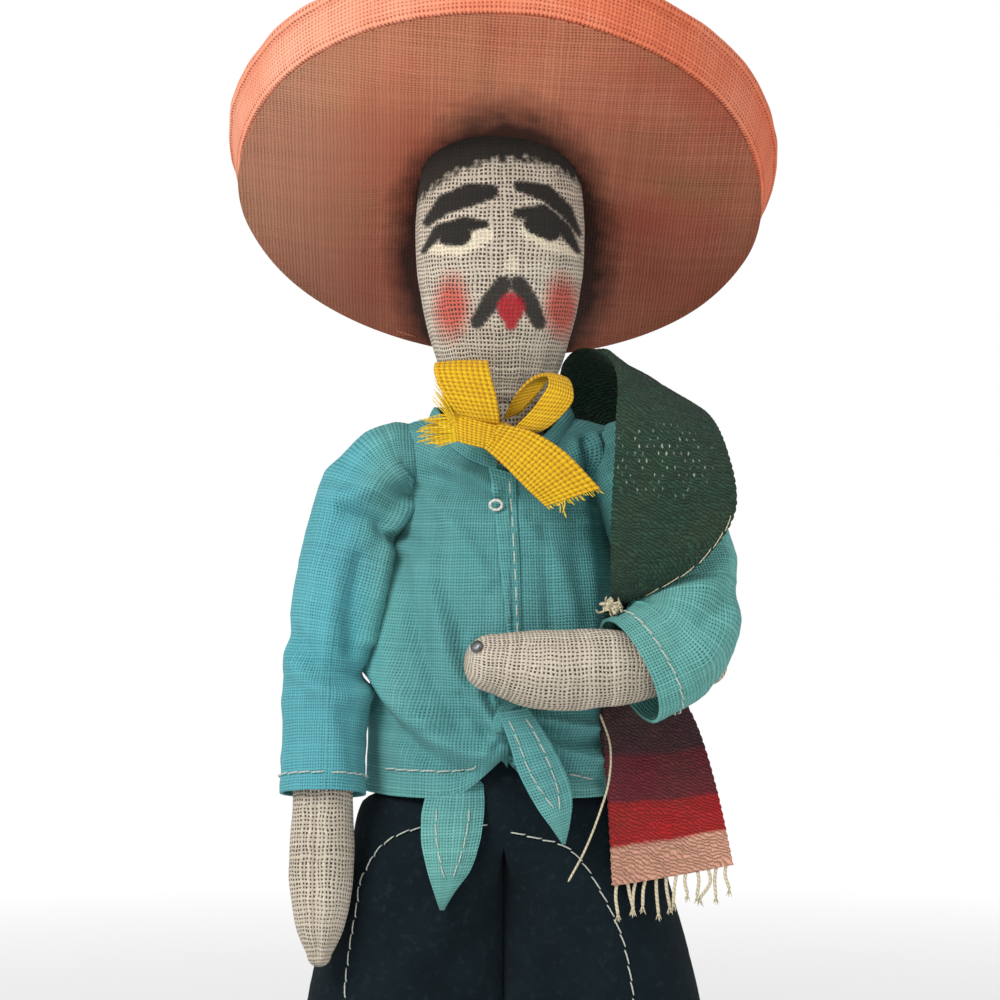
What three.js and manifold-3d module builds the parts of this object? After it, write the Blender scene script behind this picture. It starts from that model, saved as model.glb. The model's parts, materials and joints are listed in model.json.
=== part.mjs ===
// Cloth folk doll: stuffed gauze head and limbs, cotton shirt knotted at the waist, flared felt
// trousers, a wide cloth sombrero, a ribbon bow and a striped sarape over the left shoulder.
// Millimetres, +Z up. The doll faces -Y, so its own right hand is on the -X side.
import * as THREE from 'three';
import { mergeVertices } from 'three/addons/utils/BufferGeometryUtils.js';
import Module from 'manifold-3d';

const wasm = await Module();
wasm.setup();
const { Manifold, Mesh } = wasm;

// Gap left between two pieces that touch
const GAP = 0.3;

// Lengths up the doll, each from the one before it
const HIP_HEIGHT = 104;
const TRUNK_LENGTH = 60.5;
const NECK_RISE = 3.5;
const NECK_LENGTH = 9;
const HAT_RISE = 31.2;
const HEAD_CROWN = 17;
const TRUNK_X = 0.6;

// Head and neck
const HEAD_HALF_WIDTH = 13.5;
const HEAD_HALF_DEPTH = 12.4;
const CHIN_HALF_WIDTH = 8.6;
const NECK_RADIUS = 7;
const STICK_RADIUS = 1.5;
const STICK_LENGTH = 26;

// Stuffed trunk, half widths and half depths
const SEAT_HALF_WIDTH = 16.4;
const SEAT_HALF_DEPTH = 9.6;
const BELLY_HALF_WIDTH = 17.4;
const BELLY_HALF_DEPTH = 11.2;
const CHEST_HALF_WIDTH = 15.7;
const CHEST_HALF_DEPTH = 10.2;
const SHOULDER_HALF_WIDTH = 14.6;
const SHOULDER_HALF_DEPTH = 8.8;

// Arms
const SHOULDER_SPAN = 19.3;
const ARM_RADIUS = 5.6;
const ELBOW_RADIUS = 5.2;
const WRIST_RADIUS = 4.6;
const HAND_RADIUS = 5.1;
const RIGHT_UPPER_ARM = 38;
const RIGHT_FOREARM = 42.8;
const LEFT_UPPER_ARM = 37.7;
const LEFT_FOREARM = 37.6;
const LEFT_HAND_RADIUS = 6.1;

// Legs and shoes
const HIP_HALF_SPAN = 9.2;
const FOOT_HALF_SPAN = 13;
const THIGH_RADIUS = 7.4;
const ANKLE_RADIUS = 5;
const SHOE_HEIGHT = 13;
const SHOE_LENGTH = 28;
const SHOE_WIDTH = 13;
const HEEL_REACH = 9;
const SOLE_THICKNESS = 1.6;
const SOLE_WELT = 0.6;

// Shirt
const SHIRT_WALL = 0.8;
const SHIRT_HEM_DROP = 52.5;
const HEM_EASE = 4.2;
const WAIST_EASE = 2.2;
const CHEST_EASE = 1.7;
const SHOULDER_EASE = 0.45;
const SLEEVE_WALL = 0.7;
const SLEEVE_EASE = 0.45;
const RIGHT_CUFF_RADIUS = 6.7;
const LEFT_CUFF_RADIUS = 7.9;
const RIGHT_CUFF_DROP = 16;
const LEFT_CUFF_DROP = 11.8;
const COLLAR_RADIUS = 11;
const COLLAR_DEPTH = 0.95;
const COLLAR_SET = -0.4;
const COLLAR_RISE = 4;
const COLLAR_DIP = 7.6;
const COLLAR_OPENING = 0.8;
const COLLAR_HEIGHT = 2.2;
const COLLAR_THICKNESS = 0.9;
const PLACKET_WIDTH = 2;
const PLACKET_DROP = 22.5;
const TRIM_THICKNESS = 0.6;
const LOOP_RADIUS = 1;
const LOOP_THREAD = 0.25;
const KNOT_RADIUS = 2.6;
const TAIL_LENGTH = 17;
const TAIL_WIDTH = 9;

// Trousers
const FELT_WALL = 1.2;
const TROUSER_TOP_RISE = 9.6;
const CROTCH_DROP = 3.4;
const HEM_HEIGHT = 8;
const WAIST_HALF_WIDTH = 19.4;
const WAIST_HALF_DEPTH = 11.5;
const HIP_HALF_WIDTH = 24.4;
const HIP_HALF_DEPTH = 12;
const KNEE_HALF_WIDTH = 31.4;
const KNEE_HALF_DEPTH = 12.8;
const HEM_HALF_WIDTH = 34;
const HEM_HALF_DEPTH = 14.5;
const FLUTE_DEPTH = 0.7;

// Sombrero
const HAT_TILT = 33.5;
const HAT_ROLL = 4;
const HAT_SETBACK = 0.6;
const BRIM_RADIUS = 40.8;
const BRIM_THICKNESS = 1.4;
const BRIM_DISH = 1.5;
const LINING_THICKNESS = 0.5;
const RIM_HEIGHT = 8;
const RIM_FLARE = 1.4;
const RIM_THICKNESS = 1.3;
const RIM_ROLL = 1.1;
const CROWN_RADIUS = 16.4;
const CROWN_HEIGHT = 31;
const CROWN_TOP_RADIUS = 9;
const CROWN_THICKNESS = 1.2;

// Ribbon bow and the sarape
const RIBBON_WIDTH = 9.6;
const RIBBON_THICKNESS = 0.6;
const RIBBON_KNOT_RADIUS = 2.4;
const LOOP_LENGTH = 11.5;
const RIBBON_TAIL = 15;
const SARAPE_WIDTH = 19;
const SARAPE_THICKNESS = 1.2;
const SARAPE_ARCH = 12.5;
const SARAPE_STANDOFF = 1;
const SARAPE_PINCH_FALL = 22.2;
const SARAPE_PASS_FALL = 33;
const SARAPE_TAIL_FALL = 41;
const SARAPE_PASS_WIDTH = 9.4;
const SARAPE_FRONT_DROP = 62.5;
const SARAPE_BACK_DROP = 54;
const FRINGE_LENGTH = 8.5;
const FRINGE_THREAD = 0.35;
const FRINGE_COUNT = 11;

// Steel pin through the left hand
const PIN_HEAD_RADIUS = 1;
const PIN_SHANK_RADIUS = 0.35;
const PIN_LENGTH = 7;
const PIN_STANDING = 0.35;

// Joint limits in degrees that the cuts leave room for
const NOD_REACH = 10;
const RIGHT_ELBOW_BEND = 75;
const HIP_SWING = 8;

// Sides of the round forms
const SIDES = 20;
const BRIM_SIDES = 32;
const CROWN_SIDES = 28;

// Heights that follow from the lengths
const hipZ = HIP_HEIGHT;
const shoulderZ = hipZ + TRUNK_LENGTH;
const neckZ = shoulderZ + NECK_RISE;
const chinZ = neckZ + NECK_LENGTH;
const hatZ = chinZ + HAT_RISE;
const headTopZ = hatZ + HEAD_CROWN;
const shirtHemZ = shoulderZ - SHIRT_HEM_DROP;
const waistZ = hipZ + TROUSER_TOP_RISE;

const v = (x, y, z) => new THREE.Vector3(x, y, z);
const degrees = THREE.MathUtils.degToRad;
const AXIS_X = v(1, 0, 0);
const AXIS_Z = v(0, 0, 1);

// Smooth value of a table [[key, value, ...], ...] at a key, column by column
function along(table, key) {
  const last = table.length - 1;
  let i = 0;
  while (i < last - 1 && key > table[i + 1][0]) i += 1;
  const span = table[i + 1][0] - table[i][0];
  const t = THREE.MathUtils.clamp((key - table[i][0]) / span, 0, 1);
  const slope = (k, c) => {
    const a = table[Math.max(k - 1, 0)];
    const b = table[Math.min(k + 1, last)];
    return (b[c] - a[c]) / (b[0] - a[0]);
  };
  return table[i].slice(1).map((value, n) => {
    const c = n + 1;
    const end = table[i + 1][c];
    const near = (2 * t + 1) * (1 - t) ** 2;
    const leaving = t * (1 - t) ** 2;
    const arriving = t ** 2 * (t - 1);
    return near * value + (1 - near) * end + span * (leaving * slope(i, c) + arriving * slope(i + 1, c));
  });
}

// One level ring of a rounded form, with its corners a little fuller than an ellipse
function oval(x, y, z, halfWidth, halfDepth, sides = SIDES, power = 2.2, flute = 0) {
  const ring = [];
  for (let i = 0; i < sides; i += 1) {
    const angle = (2 * Math.PI * i) / sides;
    const c = Math.cos(angle);
    const s = Math.sin(angle);
    const reach = (Math.abs(c) ** power + Math.abs(s) ** power) ** (-1 / power);
    const wave = flute * Math.cos(6 * angle + 0.6);
    ring.push(v(x + (halfWidth + wave) * reach * c, y + (halfDepth + wave) * reach * s, z));
  }
  return ring;
}

// Closed solid through a row of rings, each end capped by a fan
function loft(rings) {
  const sides = rings[0].length;
  const points = rings.flat();
  const faces = [];
  for (let r = 0; r < rings.length - 1; r += 1) {
    for (let i = 0; i < sides; i += 1) {
      const a = r * sides + i;
      const b = r * sides + ((i + 1) % sides);
      faces.push(a, b, b + sides, a, b + sides, a + sides);
    }
  }
  const cap = (start, flip) => {
    const middle = v(0, 0, 0);
    for (let i = 0; i < sides; i += 1) middle.add(points[start + i]);
    points.push(middle.divideScalar(sides));
    for (let i = 0; i < sides; i += 1) {
      const a = start + i;
      const b = start + ((i + 1) % sides);
      faces.push(points.length - 1, ...(flip ? [b, a] : [a, b]));
    }
  };
  cap(0, true);
  cap((rings.length - 1) * sides, false);
  return solid(points, faces);
}

function solid(points, faces) {
  const geometry = new THREE.BufferGeometry();
  const flat = points.flatMap((p) => p.toArray());
  geometry.setAttribute('position', new THREE.Float32BufferAttribute(flat, 3));
  geometry.setIndex(faces);
  return toManifold(geometry);
}

// Solid from a closed geometry, turned so that its faces look out
function toManifold(geometry) {
  const bare = geometry.clone();
  bare.deleteAttribute('normal');
  bare.deleteAttribute('uv');
  const merged = mergeVertices(bare, 1e-5);
  const make = (faces) => new Manifold(new Mesh({
    numProp: 3,
    vertProperties: new Float32Array(merged.attributes.position.array),
    triVerts: new Uint32Array(faces),
  }));
  const shape = make(merged.index.array);
  return shape.volume() < 0 ? make(Array.from(merged.index.array).reverse()) : shape;
}

function toGeometry(shape) {
  const mesh = shape.getMesh();
  const geometry = new THREE.BufferGeometry();
  geometry.setAttribute('position', new THREE.Float32BufferAttribute(mesh.vertProperties, 3));
  geometry.setIndex(Array.from(mesh.triVerts));
  geometry.computeVertexNormals();
  return geometry;
}

const join = (...shapes) => shapes.reduce((a, b) => a.add(b));
const cut = (shape, ...tools) => tools.reduce((a, b) => a.subtract(b), shape);
const move = (shape, x, y, z) => shape.translate([x, y, z]);

function transform(shape, matrix) {
  return shape.transform(matrix.elements);
}

// Box laid along two square directions from a point, with its third side made square to them
function laidBox(point, first, second, low, high) {
  const shape = box(low, high);
  const basis = new THREE.Matrix4().makeBasis(first, second, first.clone().cross(second));
  return transform(shape, basis.setPosition(point));
}

// What an upper arm gives up at the elbow: a seat for the ball, all past the joint, and a notch on
// the inner side that the forearm folds into
function elbowRoom(elbow, upperWay, foreWay, axis, bend, radius) {
  const past = laidBox(elbow, upperWay, axis, v(0, -20, -20), v(30, 20, 20));
  const folded = foreWay.clone().applyAxisAngle(axis, degrees(bend));
  const inward = axis.clone().cross(folded).normalize();
  const notch = laidBox(elbow, folded, inward, v(0, -20, -20), v(30, radius + GAP, 20));
  return join(ball(elbow, radius + GAP + 0.1, 18), past, notch);
}

const ball = (center, radius, sides = SIDES) => move(
  toManifold(new THREE.SphereGeometry(radius, sides, sides / 2)), center.x, center.y, center.z,
);
const box = (low, high) => move(
  toManifold(new THREE.BoxGeometry(high.x - low.x, high.y - low.y, high.z - low.z)),
  (low.x + high.x) / 2, (low.y + high.y) / 2, (low.z + high.z) / 2,
);

// Round bar between two points
function bar(from, to, radius, sides = 8) {
  const length = from.distanceTo(to);
  const matrix = new THREE.Matrix4().makeRotationFromQuaternion(
    new THREE.Quaternion().setFromUnitVectors(v(0, 1, 0), to.clone().sub(from).normalize()),
  );
  matrix.setPosition(from.clone().lerp(to, 0.5));
  return transform(toManifold(new THREE.CylinderGeometry(radius, radius, length, sides)), matrix);
}

// Revolved solid about +Z from a profile of [radius, height] that starts and ends on the axis or closes
function revolve(profile, sides = 40) {
  const points = profile.map(([radius, height]) => new THREE.Vector2(radius, height));
  const shape = toManifold(new THREE.LatheGeometry(points, sides));
  return shape.transform(new THREE.Matrix4().makeRotationX(Math.PI / 2).elements);
}

// Stuffed limb through a list of [point, radius], both ends rounded
function limb(stations, grow = 0, sides = 14, rings = 9) {
  const path = new THREE.CatmullRomCurve3(stations.map(([p]) => p));
  const table = stations.map(([, radius], i) => [i / (stations.length - 1), radius + grow]);
  const rows = [];
  for (let i = 0; i <= rings; i += 1) {
    const t = i / rings;
    rows.push({ at: path.getPoint(t), way: path.getTangent(t), radius: along(table, t)[0] });
  }
  const dome = (row, sign) => [0.25, 0.55, 0.85].map((share) => ({
    at: row.at.clone().addScaledVector(row.way, sign * row.radius * Math.cos((share * Math.PI) / 2)),
    way: row.way,
    radius: row.radius * Math.sin((share * Math.PI) / 2),
  }));
  const all = [...dome(rows[0], -1), ...rows, ...dome(rows[rings], 1).reverse()];
  let side = v(1, 0, 0);
  return loft(all.map(({ at, way, radius }) => {
    side = side.clone().addScaledVector(way, -side.dot(way)).normalize();
    const up = way.clone().cross(side);
    return Array.from({ length: sides }, (_, i) => {
      const angle = (2 * Math.PI * i) / sides;
      return at.clone()
        .addScaledVector(side, radius * Math.cos(angle))
        .addScaledVector(up, radius * Math.sin(angle));
    });
  }));
}

// Cloth of even thickness through rows of [edge, middle, edge] points
function cloth(rows, thickness, steps = 6, across = 4) {
  const lanes = [0, 1, 2].map((k) => new THREE.CatmullRomCurve3(rows.map((row) => row[k])));
  const count = (rows.length - 1) * steps;
  const grid = [];
  for (let i = 0; i <= count; i += 1) {
    const [a, b, c] = lanes.map((lane) => lane.getPoint(i / count));
    const line = [];
    for (let j = 0; j <= across; j += 1) {
      const t = j / across;
      const bulge = b.clone().multiplyScalar(4 * t * (1 - t));
      bulge.addScaledVector(a, (1 - t) * (1 - 2 * t)).addScaledVector(c, t * (2 * t - 1));
      line.push(bulge);
    }
    grid.push(line);
  }
  return thicken(grid, thickness);
}

// A grid of points given a front and a back, half the thickness to each side
function thicken(grid, thickness) {
  const rows = grid.length;
  const columns = grid[0].length;
  const points = [];
  for (const sign of [1, -1]) {
    for (let i = 0; i < rows; i += 1) {
      for (let j = 0; j < columns; j += 1) {
        const down = grid[Math.min(i + 1, rows - 1)][j].clone().sub(grid[Math.max(i - 1, 0)][j]);
        const over = grid[i][Math.min(j + 1, columns - 1)].clone().sub(grid[i][Math.max(j - 1, 0)]);
        const normal = down.cross(over).normalize();
        points.push(grid[i][j].clone().addScaledVector(normal, (sign * thickness) / 2));
      }
    }
  }
  const front = (i, j) => i * columns + j;
  const back = (i, j) => rows * columns + i * columns + j;
  const faces = [];
  const quad = (a, b, c, d) => faces.push(a, b, c, a, c, d);
  for (let i = 0; i < rows - 1; i += 1) {
    for (let j = 0; j < columns - 1; j += 1) {
      quad(front(i, j), front(i, j + 1), front(i + 1, j + 1), front(i + 1, j));
      quad(back(i, j), back(i + 1, j), back(i + 1, j + 1), back(i, j + 1));
    }
    quad(front(i, 0), front(i + 1, 0), back(i + 1, 0), back(i, 0));
    quad(front(i, columns - 1), back(i, columns - 1), back(i + 1, columns - 1), front(i + 1, columns - 1));
  }
  for (let j = 0; j < columns - 1; j += 1) {
    quad(front(0, j), back(0, j), back(0, j + 1), front(0, j + 1));
    quad(front(rows - 1, j), front(rows - 1, j + 1), back(rows - 1, j + 1), back(rows - 1, j));
  }
  return solid(points, faces);
}

// Finishes
const finish = (color, roughness) => new THREE.MeshStandardMaterial({ color, roughness, metalness: 0 });
const gauze = finish(0xcfc4b4, 0.95);
const hatCloth = finish(0xe8805a, 0.9);
const liningCloth = finish(0xb9714f, 0.95);
const shirtCloth = finish(0x4fc0c8, 0.9);
const felt = finish(0x10181c, 1);
const satin = finish(0xf5cc10, 0.5);
const wool = finish(0x23402c, 0.95);
const fringeThread = finish(0xe6dcc0, 0.9);
const leather = finish(0x17130f, 0.5);
const wood = finish(0xb08a5a, 0.7);
const steel = new THREE.MeshStandardMaterial({ color: 0x55565a, roughness: 0.35, metalness: 1 });

const doll = new THREE.Group();
function add(name, shape, material) {
  const mesh = new THREE.Mesh(toGeometry(shape), material);
  mesh.name = name;
  doll.add(mesh);
}

// Head: an egg that draws in to the gathered chin, closed by a round crown inside the hat
const headSpan = headTopZ - chinZ;
const HEAD_WIDEST = 0.48;
function headHalf(z, halfWidth) {
  const t = (z - chinZ) / headSpan;
  if (t > HEAD_WIDEST) {
    const u = Math.min((t - HEAD_WIDEST) / (1 - HEAD_WIDEST), 0.999);
    return halfWidth * Math.sqrt(1 - u ** 2.3);
  }
  const u = (HEAD_WIDEST - t) / HEAD_WIDEST;
  return halfWidth - (halfWidth - CHIN_HALF_WIDTH) * u ** 2;
}
function headForm(grow) {
  const shares = [0, 0.06, 0.14, 0.24, 0.36, 0.48, 0.6, 0.7, 0.79, 0.87, 0.93, 0.97, 0.995];
  return loft(shares.map((share) => {
    const z = chinZ + share * headSpan;
    const rise = share > 0.9 ? grow : 0;
    const [width, depth] = [HEAD_HALF_WIDTH, HEAD_HALF_DEPTH].map((half) => headHalf(z, half) + grow);
    return oval(0, 0, z + rise, width, depth, 24);
  }));
}
const stickFoot = v(0, 0, chinZ - NECK_LENGTH + 1);
const stickTop = v(0, 0, stickFoot.z + STICK_LENGTH);
const stickBore = bar(v(0, 0, stickFoot.z - GAP), v(0, 0, stickTop.z + GAP), STICK_RADIUS + GAP, 12);
add('head', cut(headForm(0), stickBore), gauze);

// Neck: a ball on the nod axis with a short column up to the chin, and the stick that the head turns on
const neckPoint = v(0, 0, neckZ);
const neckForm = (grow) => join(
  ball(neckPoint, NECK_RADIUS + 0.2 + grow),
  bar(neckPoint, v(0, 0, chinZ - GAP + grow), NECK_RADIUS + grow, SIDES),
);
add('neck', cut(neckForm(0), stickBore), gauze);
add('neck_stick', bar(stickFoot, stickTop, STICK_RADIUS, 12), wood);

// Stuffed trunk, with seats for the neck, the arms and the legs
const trunkTable = [
  [hipZ - 2, 0.7 * SEAT_HALF_WIDTH, 0.6 * SEAT_HALF_DEPTH],
  [hipZ + 0.5, 0.92 * SEAT_HALF_WIDTH, 0.86 * SEAT_HALF_DEPTH],
  [hipZ + 5, SEAT_HALF_WIDTH, SEAT_HALF_DEPTH],
  [hipZ + 0.36 * TRUNK_LENGTH, BELLY_HALF_WIDTH, BELLY_HALF_DEPTH],
  [hipZ + 0.66 * TRUNK_LENGTH, CHEST_HALF_WIDTH, CHEST_HALF_DEPTH],
  [shoulderZ - 3, SHOULDER_HALF_WIDTH, SHOULDER_HALF_DEPTH],
  [shoulderZ + 2.5, 0.94 * SHOULDER_HALF_WIDTH, 0.94 * SHOULDER_HALF_DEPTH],
  [neckZ + 2, 0.84 * SHOULDER_HALF_WIDTH, 0.9 * SHOULDER_HALF_DEPTH],
];
const trunkLevels = [-2, 0.5, 5, 14, 24, 34, 44, TRUNK_LENGTH - 3, TRUNK_LENGTH + 1, TRUNK_LENGTH + 3.4]
  .map((rise) => hipZ + rise);
trunkLevels.push(neckZ + 2);
const trunkForm = (grow) => loft(trunkLevels.map((z, i) => {
  const [halfWidth, halfDepth] = along(trunkTable, z);
  const lift = i === 0 ? -grow : (i === trunkLevels.length - 1) * grow;
  return oval(TRUNK_X, 0, z + lift, halfWidth + grow, halfDepth + grow);
}));

// The shirt's outer face: the trunk, its ease and the cloth itself
const easeTable = [
  [shirtHemZ, HEM_EASE, 0.62 * HEM_EASE],
  [hipZ + 0.36 * TRUNK_LENGTH, WAIST_EASE, 0.6 * WAIST_EASE],
  [hipZ + 0.66 * TRUNK_LENGTH, CHEST_EASE, CHEST_EASE],
  [shoulderZ - 6, SHOULDER_EASE, 1.6 * SHOULDER_EASE],
  [neckZ + 2, SHOULDER_EASE, SHOULDER_EASE],
];
function shirtHalf(z) {
  const [halfWidth, halfDepth] = along(trunkTable, z);
  const [wide, deep] = along(easeTable, z);
  return [halfWidth + wide + SHIRT_WALL, halfDepth + deep + SHIRT_WALL];
}
function shirtFront(x, z) {
  const [halfWidth, halfDepth] = shirtHalf(z);
  const share = Math.min(Math.abs(x - TRUNK_X) / halfWidth, 0.94);
  return -halfDepth * (1 - share ** 2.2) ** (1 / 2.2);
}

// Arms: a round head seated in the trunk, an elbow ball, and a mitten hand with no fingers
const rightShoulder = v(TRUNK_X - SHOULDER_SPAN, 0, shoulderZ);
const leftShoulder = v(TRUNK_X + SHOULDER_SPAN, 0, shoulderZ);
const rightUpperWay = v(-0.236, -0.125, -0.963).normalize();
const rightForeWay = v(-0.01, -0.205, -0.979).normalize();
const leftUpperWay = v(0.318, -0.446, -0.836).normalize();
const leftForeWay = v(-0.992, -0.122, -0.02).normalize();
const rightElbow = rightShoulder.clone().addScaledVector(rightUpperWay, RIGHT_UPPER_ARM);
const leftElbow = leftShoulder.clone().addScaledVector(leftUpperWay, LEFT_UPPER_ARM);
const rightElbowAxis = v(-1, 0, 0);
const leftElbowAxis = leftForeWay.clone().cross(leftUpperWay).normalize();
const leftTwistAxis = leftUpperWay.clone().negate();

function upperArm(shoulder, elbow, bow, grow) {
  const middle = shoulder.clone().lerp(elbow, 0.5).add(bow);
  return limb([[shoulder, ARM_RADIUS], [middle, ARM_RADIUS - 0.2], [elbow, ELBOW_RADIUS]], grow);
}
const rightBow = v(-1.3, 0, 0.4);
const leftBow = v(0.9, 1, 0);
const rightForearm = (grow) => limb([
  [rightElbow, ELBOW_RADIUS],
  [rightElbow.clone().addScaledVector(rightForeWay, 0.38 * RIGHT_FOREARM), WRIST_RADIUS],
  [rightElbow.clone().addScaledVector(rightForeWay, 0.7 * RIGHT_FOREARM), HAND_RADIUS],
  [rightElbow.clone().addScaledVector(rightForeWay, RIGHT_FOREARM - 0.7 * HAND_RADIUS), 0.7 * HAND_RADIUS],
], grow);
const leftHandTip = leftElbow.clone()
  .addScaledVector(leftForeWay, LEFT_FOREARM - 0.72 * LEFT_HAND_RADIUS)
  .add(v(0, 0, 1.2));
const leftForearm = (grow) => limb([
  [leftElbow, ELBOW_RADIUS + 0.3],
  [leftElbow.clone().addScaledVector(leftForeWay, 0.36 * LEFT_FOREARM), LEFT_HAND_RADIUS - 0.2],
  [leftElbow.clone().addScaledVector(leftForeWay, 0.68 * LEFT_FOREARM), LEFT_HAND_RADIUS],
  [leftHandTip, 0.72 * LEFT_HAND_RADIUS],
], grow);

// Pin: its head lies slanting on the end of the hand, its shank goes square into it
const pinWay = v(-0.52, -0.64, 0.57).normalize();
const pinTurn = new THREE.Quaternion().setFromUnitVectors(v(0, 1, 0), pinWay);
const pinSeat = leftHandTip.clone().addScaledVector(pinWay, 0.72 * LEFT_HAND_RADIUS + PIN_STANDING);
const pinPoint = (depth) => pinSeat.clone().addScaledVector(pinWay, -depth);
const pinBore = bar(pinPoint(-3), pinPoint(PIN_LENGTH + GAP), PIN_SHANK_RADIUS + GAP, 8);
const pinHead = move(
  toManifold(new THREE.SphereGeometry(PIN_HEAD_RADIUS, 12, 6).scale(1, 0.6, 1).applyQuaternion(pinTurn)),
  ...pinSeat.toArray(),
);
add('pin', join(pinHead, bar(pinPoint(0), pinPoint(PIN_LENGTH), PIN_SHANK_RADIUS, 8)), steel);

add('right_forearm', rightForearm(0), gauze);
const pinPocket = move(
  toManifold(new THREE.SphereGeometry(PIN_HEAD_RADIUS + GAP, 12, 6)), ...pinSeat.toArray(),
);
add('left_forearm', cut(leftForearm(0), pinBore, pinPocket), gauze);
add('right_upper_arm', cut(
  upperArm(rightShoulder, rightElbow, rightBow, 0),
  elbowRoom(rightElbow, rightUpperWay, rightForeWay, rightElbowAxis, RIGHT_ELBOW_BEND, ELBOW_RADIUS),
), gauze);
add('left_upper_arm', cut(
  upperArm(leftShoulder, leftElbow, leftBow, 0),
  elbowRoom(leftElbow, leftUpperWay, leftForeWay, leftElbowAxis.clone().negate(), 0, ELBOW_RADIUS + 0.3),
), gauze);

// Legs: stuffed, with a round top on the hip axis, standing in low shoes
function legPath(side) {
  const hip = v(TRUNK_X + side * HIP_HALF_SPAN, 0, hipZ);
  const ankle = v(TRUNK_X + side * FOOT_HALF_SPAN, 0, SHOE_HEIGHT - 3 + ANKLE_RADIUS);
  return [hip, ankle];
}
function leg(side, grow) {
  const [hip, ankle] = legPath(side);
  const knee = hip.clone().lerp(ankle, 0.5);
  const kneeRadius = (THIGH_RADIUS + ANKLE_RADIUS) / 2 + 0.2;
  const stations = [[hip, THIGH_RADIUS], [knee, kneeRadius], [ankle, ANKLE_RADIUS]];
  return limb(stations, grow, 14, 4);
}
function shoe(side) {
  const [, ankle] = legPath(side);
  const half = SHOE_WIDTH / 2;
  const toe = HEEL_REACH - SHOE_LENGTH;
  const instep = -toe - (HEM_HALF_DEPTH - FELT_WALL - 3 * FLUTE_DEPTH - GAP);
  const levels = [
    [SOLE_THICKNESS + GAP, 1, 0, 1],
    [SOLE_THICKNESS + 2.6, 1.02, 0.2, 1],
    [HEM_HEIGHT - 2.6, 0.97, 1.6, 0.98],
    [HEM_HEIGHT - 0.6, 0.94, instep, 0.96],
    [SHOE_HEIGHT, 0.92, instep + 1.6, 0.94],
  ];
  return loft(levels.map(([z, width, toeBack, heel]) => {
    const front = toe + toeBack;
    const back = HEEL_REACH * heel;
    return oval(ankle.x, (front + back) / 2, z, half * width, (back - front) / 2, SIDES, 2.4);
  }));
}
function sole(side) {
  const [, ankle] = legPath(side);
  const middle = HEEL_REACH - SHOE_LENGTH / 2;
  const ring = (z) => oval(
    ankle.x, middle, z, SHOE_WIDTH / 2 + SOLE_WELT, SHOE_LENGTH / 2 + SOLE_WELT, SIDES, 2.4,
  );
  return loft([ring(0), ring(SOLE_THICKNESS)]);
}
for (const [name, side] of [['right', -1], ['left', 1]]) {
  add(`${name}_leg`, leg(side, 0), gauze);
  add(`${name}_shoe`, cut(shoe(side), leg(side, GAP)), leather);
  add(`${name}_sole`, sole(side), leather);
}

// Sleeves: a shell round each arm, open at the cuff and where it is sewn to the armhole
const sleeveHead = ARM_RADIUS + SLEEVE_EASE + SLEEVE_WALL;
const rightSide = {
  shoulder: rightShoulder, elbow: rightElbow, bow: rightBow, way: rightForeWay,
  drop: RIGHT_CUFF_DROP, cuff: RIGHT_CUFF_RADIUS, inward: v(1, 0, 0),
};
const leftSide = {
  shoulder: leftShoulder, elbow: leftElbow, bow: leftBow, way: leftForeWay,
  drop: LEFT_CUFF_DROP, cuff: LEFT_CUFF_RADIUS, inward: v(-1, 0, 0),
};
function sleeveForm(side, inset) {
  const head = sleeveHead - inset;
  const bend = Math.max(ELBOW_RADIUS + SLEEVE_EASE + SLEEVE_WALL + 1, (sleeveHead + side.cuff) / 2) - inset;
  const middle = side.shoulder.clone().lerp(side.elbow, 0.5).add(side.bow);
  const half = side.elbow.clone().addScaledVector(side.way, side.drop / 2);
  const past = side.elbow.clone().addScaledVector(side.way, side.drop + (inset > 0 ? 12 : 0));
  return join(
    limb([[side.shoulder, head], [middle, (head + bend) / 2 + 0.2], [side.elbow, bend]], 0, 14, 4),
    limb([[side.elbow, bend - 0.4], [half, side.cuff - inset], [past, side.cuff - inset]], 0, 14, 2),
  );
}
function sleeve(side) {
  const end = side.elbow.clone().addScaledVector(side.way, side.drop);
  const inner = side.shoulder.clone().addScaledVector(side.inward, 2 * ARM_RADIUS);
  const armhole = bar(side.shoulder, inner, ARM_RADIUS - 0.8, 14);
  const mouth = bar(end, end.clone().addScaledVector(side.way, 12), side.cuff + 4, 8);
  return cut(sleeveForm(side, 0), mouth, sleeveForm(side, SLEEVE_WALL), armhole);
}
add('right_sleeve', sleeve(rightSide), shirtCloth);
add('left_sleeve', sleeve(leftSide), shirtCloth);
const sleeveRoom = join(sleeveForm(rightSide, -GAP - 0.1), sleeveForm(leftSide, -GAP - 0.1));

// Trunk, cut by what sits in it
const nodSwing = Math.sin(degrees(NOD_REACH));
const neckRoom = join(
  ball(neckPoint, NECK_RADIUS + 0.2 + GAP, 16),
  bar(neckPoint, v(0, 0, chinZ - 1), NECK_RADIUS + GAP + 6 * nodSwing, 16),
);
let trunk = cut(trunkForm(0), neckRoom, sleeveRoom);
for (const side of [-1, 1]) {
  const [hip, ankle] = legPath(side);
  const room = THIGH_RADIUS + GAP + 0.15;
  const below = hip.clone().lerp(ankle, 0.08);
  const swing = below.distanceTo(hip) * Math.sin(degrees(HIP_SWING));
  trunk = cut(trunk, ball(hip, room, 16), bar(hip, below, room + swing, 16));
}
add('torso', trunk, gauze);

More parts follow.
